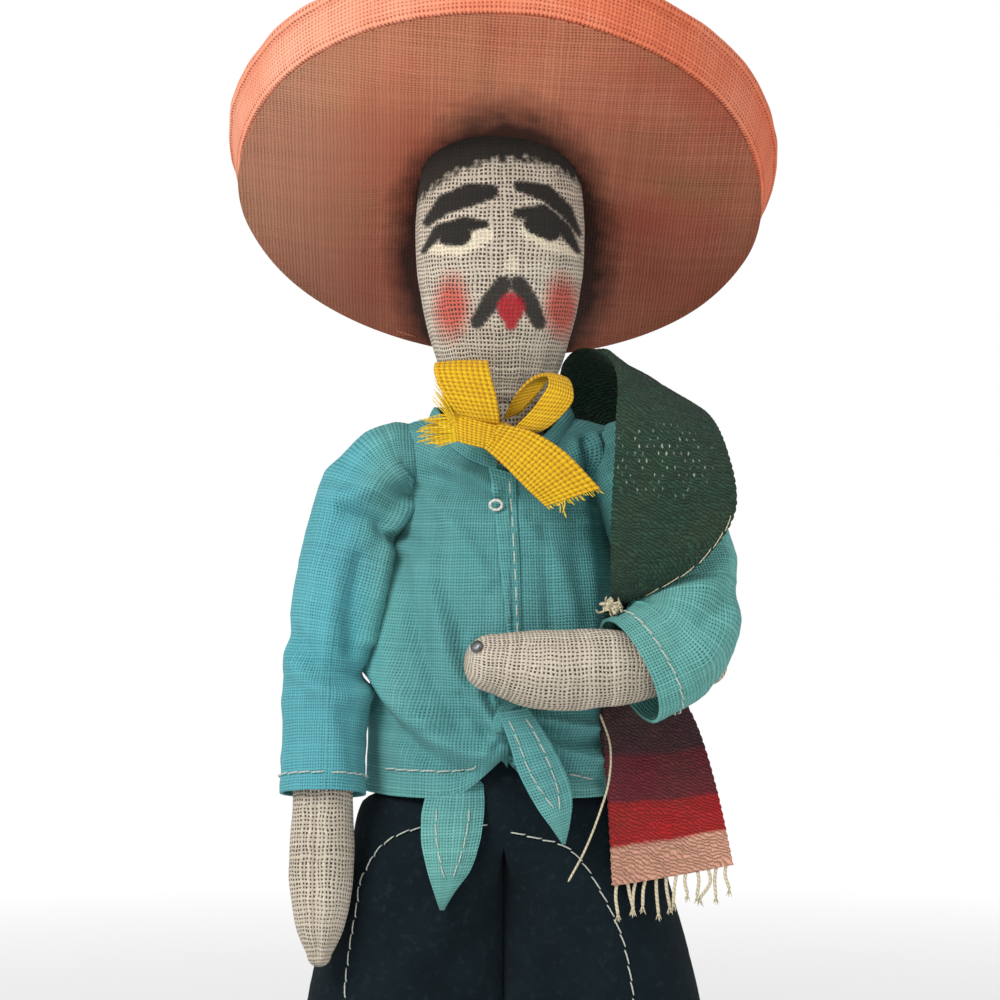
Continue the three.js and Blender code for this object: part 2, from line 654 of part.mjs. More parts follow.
// Collar: a band round the neckline, level behind and dipping to the throat, open at the placket
function neckline(turn, radius, rise) {
  const front = Math.max(0, Math.cos(turn)) ** 2;
  return v(
    TRUNK_X / 2 + radius * Math.sin(turn), COLLAR_SET - COLLAR_DEPTH * radius * Math.cos(turn),
    neckZ + COLLAR_RISE - COLLAR_DIP * front + rise,
  );
}
function collarBand(grow) {
  const opening = Math.asin(COLLAR_OPENING / COLLAR_RADIUS) - grow / COLLAR_RADIUS;
  const rows = [];
  const count = 22;
  for (let i = 0; i <= count; i += 1) {
    const turn = opening + ((2 * Math.PI - 2 * opening) * i) / count;
    const half = COLLAR_HEIGHT / 2 + grow;
    rows.push([neckline(turn, COLLAR_RADIUS + 0.3, -half), neckline(turn, COLLAR_RADIUS, 0),
      neckline(turn, COLLAR_RADIUS - 0.5, half)]);
  }
  return cloth(rows, COLLAR_THICKNESS + 2 * grow, 1, 2);
}
function necklineRoom() {
  const turns = Array.from({ length: 24 }, (_, i) => (2 * Math.PI * i) / 24);
  const ring = (rise) => turns.map((turn) => neckline(turn, COLLAR_RADIUS, rise));
  return loft([ring(-0.6), ring(12)]);
}
add('shirt_collar', cut(collarBand(0), trunkForm(GAP)), shirtCloth);

// Shirt body: a shell cut into a back and two fronts along its seams
const shirtLevels = [shirtHemZ, shirtHemZ + 6, shirtHemZ + 14, shirtHemZ + 24, shirtHemZ + 34,
  shirtHemZ + 43, shoulderZ - 3, shoulderZ + 1, shoulderZ + 3.4];
shirtLevels.push(neckZ + 2);
function shirtForm(inset) {
  const rings = shirtLevels.map((z, i) => {
    const [halfWidth, halfDepth] = shirtHalf(z);
    const fold = 0.5 * Math.max(0, 1 - (z - shirtHemZ) / 26);
    const top = i === shirtLevels.length - 1 ? GAP + SHIRT_WALL - inset : 0;
    const low = i === 0 && inset > 0 ? -2 : 0;
    return oval(TRUNK_X, 0, z + top + low, halfWidth - inset, halfDepth - inset, 24, 2.2, fold);
  });
  return loft(rings);
}
const neckHole = bar(v(0, 0, shoulderZ - 2), v(0, 0, neckZ + 12), NECK_RADIUS + 1.6, 24);
const shirtShell = cut(
  shirtForm(0), shirtForm(SHIRT_WALL), necklineRoom(), neckHole, collarBand(GAP), sleeveRoom,
);
const wide = 60;
const frontHalf = box(v(-wide, -wide, 0), v(wide, -GAP / 2, headTopZ));
const backHalf = box(v(-wide, GAP / 2, 0), v(wide, wide, headTopZ));
const openingX = TRUNK_X + 0.4;
const notch = transform(
  toManifold(new THREE.BoxGeometry(6, 30, 6)),
  new THREE.Matrix4().makeTranslation(openingX, -12, shirtHemZ - 0.6)
    .multiply(new THREE.Matrix4().makeRotationY(Math.PI / 4)),
);
const fronts = cut(shirtShell.intersect(frontHalf), notch);
add('shirt_back', shirtShell.intersect(backHalf), shirtCloth);
const rightOfOpening = box(v(-wide, -wide, 0), v(openingX - GAP / 2, 0, headTopZ));
const leftOfOpening = box(v(openingX + GAP / 2, -wide, 0), v(wide, 0, headTopZ));
add('shirt_front_right', fronts.intersect(rightOfOpening), shirtCloth);
add('shirt_front_left', fronts.intersect(leftOfOpening), shirtCloth);

// A strip that lies on the shirt's front between two heights
function frontStrip(x, halfWidth, fromZ, toZ, thickness, steps) {
  const rows = [];
  for (let i = 0; i <= steps; i += 1) {
    const z = fromZ + ((toZ - fromZ) * i) / steps;
    const y = shirtFront(x, z) - GAP - 0.6 * thickness - 0.15;
    const lean = x + 1.6 * (i / steps);
    rows.push([v(lean - halfWidth, y, z), v(lean, y, z), v(lean + halfWidth, y, z)]);
  }
  return cloth(rows, thickness, 1, 2);
}
const placketTop = neckZ - COLLAR_HEIGHT - 6;
add('shirt_placket', frontStrip(
  openingX - 0.4, PLACKET_WIDTH / 2, placketTop, placketTop - PLACKET_DROP, TRIM_THICKNESS, 4,
), shirtCloth);
const loopZ = placketTop - 1.6;
const loopX = openingX - 0.4 - PLACKET_WIDTH / 2 - LOOP_RADIUS - LOOP_THREAD - GAP;
const threadLoop = toManifold(new THREE.TorusGeometry(LOOP_RADIUS, LOOP_THREAD, 5, 12));
add('button_loop', transform(threadLoop, new THREE.Matrix4()
  .makeTranslation(loopX, shirtFront(loopX, loopZ) - GAP - LOOP_THREAD - 0.2, loopZ)
  .multiply(new THREE.Matrix4().makeRotationX(Math.PI / 2))), fringeThread);

// Waist knot with its two leaf-shaped ends
const knotZ = shirtHemZ + 12.6;
const knotY = shirtFront(openingX, knotZ) - GAP - 0.62 * KNOT_RADIUS - 0.3;
const shirtKnot = (grow) => {
  const round = new THREE.SphereGeometry(KNOT_RADIUS + grow, 10, 8).scale(1, 0.62, 1.15);
  return move(toManifold(round), openingX, knotY, knotZ);
};
add('shirt_knot', shirtKnot(0), shirtCloth);
function leaf(top, way, length, width) {
  const side = v(way.z, 0, -way.x);
  const shape = [[0, 0.5], [0.3, 0.96], [0.55, 1], [0.8, 0.62], [1, 0.12]];
  return cloth(shape.map(([share, open]) => {
    const middle = top.clone().addScaledVector(way, share * length);
    const half = side.clone().multiplyScalar((open * width) / 2);
    return [middle.clone().sub(half), middle.clone().add(v(0, -0.7 * open, 0)), middle.clone().add(half)];
  }), SHIRT_WALL, 2, 4);
}
const rightTailX = openingX - 7.6;
const rightTailY = shirtFront(rightTailX, shirtHemZ) - 0.3 - GAP - SHIRT_WALL / 2;
const rightTailTop = v(rightTailX, rightTailY, shirtHemZ + 1);
const rightTailWay = v(0.05, -0.02, -1).normalize();
const leftTailWay = v(0.4, 0.03, -0.92).normalize();
add('shirt_tail_right', leaf(rightTailTop, rightTailWay, TAIL_LENGTH, TAIL_WIDTH), shirtCloth);
const leftTailTop = v(openingX + 0.6, knotY - 0.5, knotZ - 1);
const leftTail = leaf(leftTailTop, leftTailWay, TAIL_LENGTH + 5.4, 0.86 * TAIL_WIDTH);
add('shirt_tail_left', cut(leftTail, shirtKnot(GAP)), shirtCloth);

// Trousers: two flared felt legs sewn down the middle of the seat, with soft flutes at the hem
const trouserTable = [
  [HEM_HEIGHT, HEM_HALF_WIDTH, HEM_HALF_DEPTH],
  [0.45 * hipZ, 0.5 * (HEM_HALF_WIDTH + KNEE_HALF_WIDTH) + 0.3, 0.5 * (HEM_HALF_DEPTH + KNEE_HALF_DEPTH)],
  [0.75 * hipZ, KNEE_HALF_WIDTH, KNEE_HALF_DEPTH],
  [hipZ, HIP_HALF_WIDTH, HIP_HALF_DEPTH],
  [shirtHemZ - 1.6, HIP_HALF_WIDTH - 1.8, HIP_HALF_DEPTH],
  [shirtHemZ, WAIST_HALF_WIDTH + 0.3, WAIST_HALF_DEPTH],
  [waistZ, WAIST_HALF_WIDTH, WAIST_HALF_DEPTH],
];
function trouserLeg(side, inset) {
  const low = inset > 0 ? HEM_HEIGHT - 2 : HEM_HEIGHT;
  const top = hipZ + 2 - inset;
  const levels = [low, 0.2 * hipZ, 0.44 * hipZ, 0.66 * hipZ, 0.84 * hipZ, 0.94 * hipZ, top];
  return loft(levels.map((z) => {
    const [halfWidth, halfDepth] = along(trouserTable, z);
    const near = GAP / 2;
    const middle = TRUNK_X + (side * (near + halfWidth)) / 2;
    const flute = FLUTE_DEPTH * Math.max(0, 1 - z / (0.8 * hipZ));
    const wideHalf = (halfWidth - near) / 2 - inset - flute;
    return oval(middle, 0, z, wideHalf, halfDepth - inset - flute, SIDES, 2.5, flute);
  }));
}
function trouserSeat(inset) {
  const bottom = hipZ - CROTCH_DROP + inset;
  const top = inset > 0 ? waistZ + 2 : waistZ;
  const levels = [bottom, hipZ, hipZ + 3, shirtHemZ - 1.6, shirtHemZ, top];
  return loft(levels.map((z) => {
    const [halfWidth, halfDepth] = along(trouserTable, Math.min(z, waistZ));
    const share = z < hipZ ? 0.97 : 1;
    return oval(TRUNK_X, 0, z, share * halfWidth - inset, share * halfDepth - inset, 28, 2.3);
  }));
}
const seatShell = cut(trouserSeat(0), trouserSeat(FELT_WALL));
for (const [name, side] of [['right', -1], ['left', 1]]) {
  const half = side < 0
    ? box(v(-wide, -wide, 0), v(TRUNK_X - GAP / 2, wide, headTopZ))
    : box(v(TRUNK_X + GAP / 2, -wide, 0), v(wide, wide, headTopZ));
  const outer = join(trouserLeg(side, 0), seatShell.intersect(half));
  const shell = cut(outer, trouserLeg(side, FELT_WALL), trouserSeat(FELT_WALL));
  add(`trousers_${name}`, shell.intersect(half), felt);
}

// Sombrero, built level on its own axis and then tilted back and rolled
const hatMatrix = new THREE.Matrix4()
  .makeTranslation(0, HAT_SETBACK, hatZ)
  .multiply(new THREE.Matrix4().makeRotationY(degrees(HAT_ROLL)))
  .multiply(new THREE.Matrix4().makeRotationX(degrees(-HAT_TILT)));
const onHead = (shape) => cut(transform(shape, hatMatrix), headForm(GAP));
function dish(radius) {
  return -BRIM_DISH * Math.sin((Math.PI * (radius - CROWN_RADIUS)) / (BRIM_RADIUS - CROWN_RADIUS));
}
const brimSteps = [0, 0.34, 0.68, 1];
function disc(innerRadius, outerRadius, low, high) {
  const radii = brimSteps.map((share) => innerRadius + share * (outerRadius - innerRadius));
  const under = radii.map((radius) => [radius, dish(radius) + low]);
  const over = radii.map((radius) => [radius, dish(radius) + high]).reverse();
  return revolve([...under, ...over, under[0]], BRIM_SIDES);
}
const holeRadius = 10;
add('sombrero_brim', onHead(disc(holeRadius, BRIM_RADIUS - GAP, 0, BRIM_THICKNESS)), hatCloth);
add('brim_lining', onHead(disc(holeRadius, BRIM_RADIUS - GAP, -GAP - LINING_THICKNESS, -GAP)), liningCloth);
const rimOut = (share) => BRIM_RADIUS + RIM_FLARE * Math.sin((share * Math.PI) / 2);
const rimBottom = -GAP - LINING_THICKNESS;
const rimShares = [0, 0.4, 0.75, 1];
const rimInside = rimShares.map((share) => [rimOut(share), rimBottom + share * RIM_HEIGHT]);
const rimOutside = rimInside.map(([radius, height]) => [radius + RIM_THICKNESS, height]).reverse();
const rimTop = [
  [rimOut(1) - 0.1, rimBottom + RIM_HEIGHT + RIM_ROLL],
  [rimOut(1) + RIM_THICKNESS / 2 + 0.2, rimBottom + RIM_HEIGHT + 1.6 * RIM_ROLL],
  [rimOut(1) + RIM_THICKNESS + 0.5, rimBottom + RIM_HEIGHT + RIM_ROLL],
];
const rim = revolve([...rimInside, ...rimTop, ...rimOutside, rimInside[0]], BRIM_SIDES);
add('sombrero_rim', onHead(rim), hatCloth);
const crownBase = BRIM_THICKNESS + GAP;
function crownProfile(inset) {
  const rise = [0, 0.25, 0.5, 0.72, 0.88];
  const side = rise.map((share) => [
    CROWN_RADIUS + (CROWN_TOP_RADIUS - CROWN_RADIUS) * share ** 1.4 - inset,
    share * CROWN_HEIGHT,
  ]);
  const top = [0.72 * CROWN_TOP_RADIUS - inset / 2, 0.97 * CROWN_HEIGHT - inset];
  return [...side, top, [0, CROWN_HEIGHT - inset]];
}
const crownHollow = [[0, -1], [CROWN_RADIUS - CROWN_THICKNESS, -1], ...crownProfile(CROWN_THICKNESS)];
const crownShell = cut(revolve([[0, 0], ...crownProfile(0)], CROWN_SIDES), revolve(crownHollow, CROWN_SIDES));
add('sombrero_crown', onHead(move(crownShell, 0, 0, crownBase)), hatCloth);

// Ribbon tied round the neck in a bow
const bowY = shirtFront(0, neckZ - 1) - COLLAR_THICKNESS - GAP - RIBBON_KNOT_RADIUS - 1.4;
const bowPoint = v(0.8, bowY, neckZ - 0.4);
const bandRing = revolve([
  [NECK_RADIUS + 0.9, -1.1], [NECK_RADIUS + 0.9 + RIBBON_THICKNESS, -1.1],
  [NECK_RADIUS + 0.9 + RIBBON_THICKNESS, 1.1], [NECK_RADIUS + 0.9, 1.1], [NECK_RADIUS + 0.9, -1.1],
], 28);
const ribbonKnot = (grow) => {
  const round = new THREE.SphereGeometry(RIBBON_KNOT_RADIUS + grow, 10, 8).scale(1, 1, 1.1);
  return move(toManifold(round), bowPoint.x, bowPoint.y, bowPoint.z);
};
const bandLead = (side) => cloth([0, 0.5, 1].map((share) => {
  const from = v(side * (NECK_RADIUS + 0.2) * 0.6, -(NECK_RADIUS + 1.2) * 0.86, neckZ + 4.4);
  const at = from.lerp(bowPoint.clone().add(v(side * 0.6, RIBBON_KNOT_RADIUS + 0.2, 0.6)), share);
  return [at.clone().add(v(0, 0, -1)), at, at.clone().add(v(0, 0, 1))];
}), RIBBON_THICKNESS, 2, 2);
const band = join(move(bandRing, 0, 0, neckZ + 4.4), bandLead(-1), bandLead(1));
add('ribbon_neckband', cut(band, neckRoom, ribbonKnot(GAP), collarBand(GAP)), satin);
add('ribbon_knot', ribbonKnot(0), satin);
function bowLoop(side, lean, fullness) {
  const way = v(side * lean, -0.1, 1).normalize();
  const across = v(way.z, 0, -way.x);
  const stations = [[-0.04, 0.3, -0.5], [0.5, 0.75, -fullness], [0.9, 1, -fullness * 0.9], [1.03, 1, 0],
    [0.9, 1, fullness * 0.6], [0.5, 0.75, fullness * 0.7], [-0.04, 0.3, 0.5]];
  return cloth(stations.map(([share, open, depth]) => {
    const at = bowPoint.clone()
      .addScaledVector(way, RIBBON_KNOT_RADIUS + share * LOOP_LENGTH)
      .add(v(0, depth, 0));
    const half = across.clone().multiplyScalar((open * RIBBON_WIDTH) / 2);
    return [at.clone().sub(half), at, at.clone().add(half)];
  }), RIBBON_THICKNESS, 3, 2);
}
const bowRoom = (shape) => shape.subtract(ribbonKnot(GAP));
add('ribbon_loop_right', bowRoom(bowLoop(-1, 0.62, 1.5)), satin);
add('ribbon_loop_left', bowRoom(bowLoop(1, 0.78, 1.5)), satin);
function ribbonTail(way, length, width, outward) {
  const across = v(-way.z, 0, way.x);
  return cloth([[-0.04, 0.35], [0.4, 0.85], [0.7, 1], [1, 1]].map(([share, open]) => {
    const at = bowPoint.clone()
      .addScaledVector(way, RIBBON_KNOT_RADIUS * 0.9 + share * length)
      .add(v(0, -outward * Math.sin(Math.PI * share), 0));
    const half = across.clone().multiplyScalar((open * width) / 2);
    return [at.clone().sub(half), at, at.clone().add(half)];
  }), RIBBON_THICKNESS, 2, 2);
}
const longTail = ribbonTail(v(0.84, 0.02, -0.55).normalize(), RIBBON_TAIL, RIBBON_WIDTH, 0.8);
const shortTail = ribbonTail(v(-0.99, 0, -0.12).normalize(), 0.66 * RIBBON_TAIL, 0.6 * RIBBON_WIDTH, 0.4);
add('ribbon_tail_left', bowRoom(longTail), satin);
add('ribbon_tail_right', bowRoom(shortTail), satin);

// Sarape: one woven strip that stands over the left shoulder, drapes in front of the sleeve, is
// pinched and stitched above the forearm, passes behind it and hangs, with its back end behind
const archZ = shoulderZ + sleeveHead + SARAPE_ARCH;
const drapeY = leftElbow.y - SARAPE_STANDOFF;
const passY = (x) => {
  const share = (leftElbow.x - x) / LEFT_FOREARM;
  const axisY = leftElbow.y + leftForeWay.y * LEFT_FOREARM * share;
  const room = share * LEFT_FOREARM < LEFT_CUFF_DROP + 4 ? LEFT_CUFF_RADIUS : LEFT_HAND_RADIUS;
  return axisY + room + GAP + SARAPE_THICKNESS / 2 + 0.15;
};
const frontOf = (x, z) => {
  const [halfWidth, halfDepth] = along(trouserTable, Math.min(z, waistZ));
  const lobe = Math.min(Math.abs(Math.abs(x - TRUNK_X) - halfWidth / 2) / (halfWidth / 2), 0.9);
  const leg = -halfDepth * (1 - lobe ** 2.5) ** (1 / 2.5);
  const share = Math.min(Math.abs(x - TRUNK_X) / halfWidth, 0.9);
  const seat = -halfDepth * (1 - share ** 2.3) ** (1 / 2.3);
  const shirt = shirtFront(x, Math.max(z, shirtHemZ));
  const clothes = z < hipZ ? Math.min(leg, seat) : Math.min(seat, z > shirtHemZ - 4 ? shirt : 0);
  return clothes - GAP - SARAPE_THICKNESS / 2 - 0.6;
};
const sarapeEndZ = archZ - 18.7 - SARAPE_FRONT_DROP;
const tailX = TRUNK_X + 16.8;
const tailTopZ = shoulderZ - SARAPE_TAIL_FALL;
const drop = (share) => tailTopZ + share * (sarapeEndZ - tailTopZ);
const tailRow = (share, width) => {
  const z = drop(share);
  const left = tailX - 1.6 + 2.2 * share;
  const bulge = share < 1 ? 0.5 : 0.9;
  const middle = frontOf(left + width / 2, z);
  return [v(left, Math.min(frontOf(left, z), middle + 2), z), v(left + width / 2, middle - bulge, z - 0.3),
    v(left + width, middle + 0.4, z + 0.4)];
};
const backLine = (z) => along(trunkTable, THREE.MathUtils.clamp(z, hipZ, neckZ))[1] + 1.6 * HEM_EASE;
const backRow = (z, left) => {
  const y = backLine(z) + 0.9;
  const middle = v(left + SARAPE_WIDTH / 2, y + 0.8, z - 0.3);
  return [v(left, y, z), middle, v(left + SARAPE_WIDTH, y - 0.6, z + 0.2)];
};
const nearX = leftShoulder.x - 9;
const passZ = shoulderZ - SARAPE_PASS_FALL;
const passRight = tailX - 1 + SARAPE_PASS_WIDTH;
const pinchZ = shoulderZ - SARAPE_PINCH_FALL;
const sarapeRows = [
  tailRow(1, SARAPE_WIDTH),
  tailRow(0.5, 0.9 * SARAPE_WIDTH),
  tailRow(0, 0.78 * SARAPE_WIDTH),
  [v(tailX - 1, passY(tailX), passZ), v(tailX + 4, passY(tailX + 4), passZ),
    v(passRight, passY(passRight), passZ)],
  [v(tailX - 0.9, passY(tailX) - 0.4, passZ + 7.2), v(tailX + 0.9, passY(tailX + 1) - 0.3, passZ + 7.5),
    v(tailX + 2.9, passY(tailX + 3) - 0.2, passZ + 7.9)],
  [v(tailX - 0.6, drapeY + 4.8, pinchZ - 0.1), v(tailX + 1.2, drapeY + 4.7, pinchZ + 0.5),
    v(tailX + 2.9, drapeY + 4.7, pinchZ + 1.3)],
  [v(tailX - 0.2, drapeY + 1.8, pinchZ), v(tailX + 1.6, drapeY + 0.4, pinchZ + 0.6),
    v(tailX + 3.8, drapeY - 0.6, pinchZ + 1.6)],
  [v(tailX - 0.2, drapeY - 1.8, shoulderZ - 16), v(tailX + 6.6, drapeY - 4, shoulderZ - 15.8),
    v(tailX + 13.4, drapeY - 3.6, shoulderZ - 15.2)],
  [v(tailX - 0.2, drapeY - 1.2, shoulderZ - 8), v(tailX + 9.2, drapeY - 2.8, shoulderZ - 8),
    v(tailX + 18.6, drapeY - 0.6, shoulderZ - 7.6)],
  [v(tailX + 0.7, drapeY + 2.4, shoulderZ + 5), v(tailX + 9, drapeY + 0.8, shoulderZ + 4.6),
    v(tailX + 16.6, drapeY + 4.4, shoulderZ + 4)],
  [v(tailX + 0.9, -10.5, archZ - 5.8), v(tailX + 7.8, -11, archZ - 8.2),
    v(tailX + 14.6, -9.5, archZ - 11.8)],
  [v(nearX + 5.7, -2.5, archZ - 1.6), v(leftShoulder.x + 2.6, -3.5, archZ - 6.4),
    v(leftShoulder.x + 9.8, -3.5, archZ - 10.2)],
  [v(nearX + 0.7, 4, archZ - 2.6), v(leftShoulder.x - 3.5, 4.5, archZ - 1.8),
    v(leftShoulder.x + 7, 4, archZ - 8.6)],
  [v(nearX - 0.9, 10.5, archZ - 6.6), v(leftShoulder.x - 3.2, 11.4, archZ - 6.2),
    v(leftShoulder.x + 6.8, 10.4, archZ - 12)],
  backRow(shoulderZ - 12, nearX),
  backRow(shoulderZ - 32, nearX + 0.4),
  backRow(shoulderZ - SARAPE_BACK_DROP, nearX + 1),
];
add('sarape', cloth(sarapeRows, SARAPE_THICKNESS, 3, 4), wool);

// Fringe: warp threads left past the last pick, on a thin heading
function fringe(edge, way) {
  const shifted = (step) => edge.map((point) => point.clone().addScaledVector(way, GAP + 0.15 + step));
  let shape = cloth([shifted(0), shifted(0.9)], 2 * FRINGE_THREAD, 1, 4);
  const [start, middle, end] = edge;
  for (let i = 0; i < FRINGE_COUNT; i += 1) {
    const share = (i + 0.5) / FRINGE_COUNT;
    const at = middle.clone().multiplyScalar(4 * share * (1 - share))
      .addScaledVector(start, (1 - share) * (1 - 2 * share))
      .addScaledVector(end, share * (2 * share - 1))
      .addScaledVector(way, GAP + 0.6);
    const length = FRINGE_LENGTH * (0.8 + 0.2 * Math.sin(5 * i + 1));
    const stray = v(0.5 * Math.sin(3 * i), 0.3 * Math.cos(4 * i), 0);
    const tip = at.clone().addScaledVector(way, length).add(stray);
    shape = shape.add(bar(at, tip, FRINGE_THREAD, 4));
  }
  return shape;
}
const [frontLeft, frontMiddle, frontRight] = sarapeRows[0];
const [backLeft, backMiddle, backRight] = sarapeRows[sarapeRows.length - 1];
const frontFringe = fringe([frontLeft, frontMiddle, frontRight], v(0, -0.12, -1).normalize());
const backFringe = fringe([backLeft, backMiddle, backRight], v(0, 0.02, -1).normalize());
add('sarape_fringe_front', frontFringe, fringeThread);
add('sarape_fringe_back', backFringe, fringeThread);

// Tuft of white thread over the stitch at the pinch
const [pinchLeft] = sarapeRows[6];
const tuft = move(
  toManifold(new THREE.SphereGeometry(1.3, 10, 6).scale(1.1, 0.8, 0.9)),
  pinchLeft.x + 0.1, pinchLeft.y - SARAPE_THICKNESS / 2 - GAP - 1.9, pinchLeft.z + 0.1,
);
add('sarape_tuft', tuft, fringeThread);

// The whole doll stands with its lowest point on the floor and its middle over the origin
doll.updateMatrixWorld(true);
const bounds = new THREE.Box3().setFromObject(doll, true);
const center = bounds.getCenter(v(0, 0, 0));
doll.position.set(-center.x, -center.y, -bounds.min.z);
doll.updateMatrixWorld(true);

// Places that a reader of the joints and mounts needs, in millimetres in the finished frame
const place = (point) => point.clone().add(doll.position).toArray().map((value) => +value.toFixed(4));
const rounded = bounds.getSize(v(0, 0, 0)).toArray().map((value) => +value.toFixed(2));
console.log('shift', place(v(0, 0, 0)), 'size', rounded);
for (const [name, point, axis] of [
  ['neck_nod', neckPoint, AXIS_X], ['head_turn', v(0, 0, chinZ), AXIS_Z],
  ['right_shoulder', rightShoulder, rightElbowAxis], ['right_elbow', rightElbow, rightElbowAxis],
  ['left_shoulder', leftShoulder, leftTwistAxis], ['left_elbow', leftElbow, leftElbowAxis],
  ['right_hip', legPath(-1)[0], AXIS_X], ['left_hip', legPath(1)[0], AXIS_X],
  ['pin_slide', pinPoint(0), pinWay],
  ['right_sole', v(legPath(-1)[1].x, HEEL_REACH - SHOE_LENGTH / 2, 0), v(0, 0, -1)],
  ['left_sole', v(legPath(1)[1].x, HEEL_REACH - SHOE_LENGTH / 2, 0), v(0, 0, -1)],
]) {
  console.log(name, place(point), axis.toArray().map((value) => +value.toFixed(6)));
}

export default doll;
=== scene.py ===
# %% [markdown]
# # A cloth folk doll
#
# The doll is sewn and stuffed by hand: gauze skin over stuffing, a cotton shirt knotted at the
# waist, felt trousers, a stitched cloth sombrero, a ribbon bow and a woven sarape. The frame gives
# where each piece is and how it moves. This lesson makes what each piece looks like.

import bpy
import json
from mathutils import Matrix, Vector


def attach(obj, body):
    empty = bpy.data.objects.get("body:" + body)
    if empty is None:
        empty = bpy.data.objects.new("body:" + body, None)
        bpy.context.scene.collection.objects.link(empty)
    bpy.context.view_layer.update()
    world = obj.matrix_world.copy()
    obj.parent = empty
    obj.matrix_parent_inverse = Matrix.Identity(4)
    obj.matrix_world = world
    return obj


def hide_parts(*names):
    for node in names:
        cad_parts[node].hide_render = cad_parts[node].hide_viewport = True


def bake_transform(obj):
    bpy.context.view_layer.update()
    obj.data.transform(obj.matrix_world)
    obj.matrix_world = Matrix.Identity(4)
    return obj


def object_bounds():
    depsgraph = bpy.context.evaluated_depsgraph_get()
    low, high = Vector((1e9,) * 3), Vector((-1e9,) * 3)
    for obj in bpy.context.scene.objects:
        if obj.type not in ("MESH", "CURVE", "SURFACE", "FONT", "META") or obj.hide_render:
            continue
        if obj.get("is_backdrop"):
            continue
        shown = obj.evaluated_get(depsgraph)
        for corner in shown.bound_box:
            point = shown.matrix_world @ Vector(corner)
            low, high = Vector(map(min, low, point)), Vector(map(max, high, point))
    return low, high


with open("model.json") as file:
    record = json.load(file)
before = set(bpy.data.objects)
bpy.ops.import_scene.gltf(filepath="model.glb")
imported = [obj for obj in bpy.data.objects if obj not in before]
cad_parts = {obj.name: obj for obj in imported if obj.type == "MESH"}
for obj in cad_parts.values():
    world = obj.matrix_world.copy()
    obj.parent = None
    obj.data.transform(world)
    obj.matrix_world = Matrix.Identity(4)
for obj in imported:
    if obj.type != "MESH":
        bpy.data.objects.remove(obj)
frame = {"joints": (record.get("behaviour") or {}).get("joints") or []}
cad_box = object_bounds()
print("frame box", [list(corner) for corner in cad_box])

# %% Other tools
import json
import math

import bpy
import numpy as np
from mathutils import Vector, noise
from mathutils.bvhtree import BVHTree

# %% [markdown]
# ## One ruler for the whole doll
#
# A doll maker measures in millimetres from the middle of the body, so this lesson does too. The
# nod joint lies on that middle line, and everything is moved from there into the frame's metres.

# %% Ruler
MM = 0.001
joint_at = {joint["name"]: joint["pos_m"] for joint in frame["joints"]}
MIDDLE = np.array([joint_at["neck_nod"][0], joint_at["neck_nod"][1], 0.0])
HIP, SHOULDER, NECK, CHIN, HAT, HEAD_TOP = 104, 164.5, 168, 177, 208.2, 225.2
SHIRT_HEM = 112
TRUNK_X = 0.6


def to_frame(points):
    """Doll millimetres to frame metres."""
    return np.asarray(points, float) * MM + MIDDLE


def spot(x, y, z):
    """One point in doll millimetres."""
    return np.array([x, y, z], float)


def unit(vector):
    """A vector of length one."""
    return np.asarray(vector, float) / np.linalg.norm(vector)


print("middle of the doll", MIDDLE)

# %% [markdown]
# ## The camera
#
# The photograph is a head-on portrait, cropped below the hat's crown and at the thighs. A camera
# 450 mm away at chest height with a 101 mm lens has the same perspective. It also makes a ruler of
# the photograph: one pixel covers 0.16 mm at the middle of the doll, so places can be read off it.

# %% Camera
CAMERA_FAR, EYE_HEIGHT, LENS, FILM = 450, 158.4, 101.25, 36
PIXEL, PHOTO_MIDDLE = 0.16, 500


def put_in_scene(thing):
    """Links an object to the scene."""
    bpy.context.scene.collection.objects.link(thing)


camera = bpy.data.objects.new("portrait_camera", bpy.data.cameras.new("portrait_camera"))
put_in_scene(camera)
camera.location = to_frame([0, -CAMERA_FAR, EYE_HEIGHT])
camera.rotation_euler = (math.pi / 2, 0, 0)
camera.data.lens = LENS
camera.data.sensor_width = FILM
camera.data.clip_start = 0.01
bpy.context.scene.camera = camera
bpy.context.scene.view_settings.view_transform = "Standard"
print("camera at", list(camera.location))

# %% [markdown]
# ## Shader maths that reads like Python
#
# A weave is arithmetic: where a thread runs, how round it is, which one is on top. It could be wired
# by hand in the shader editor, but hundreds of Math nodes are hard to read. The class below wraps
# the output of a shader node, so that such sums are written as sums, and Blender gets a Math node
# for each. Any other kind of node comes from its one method, node.


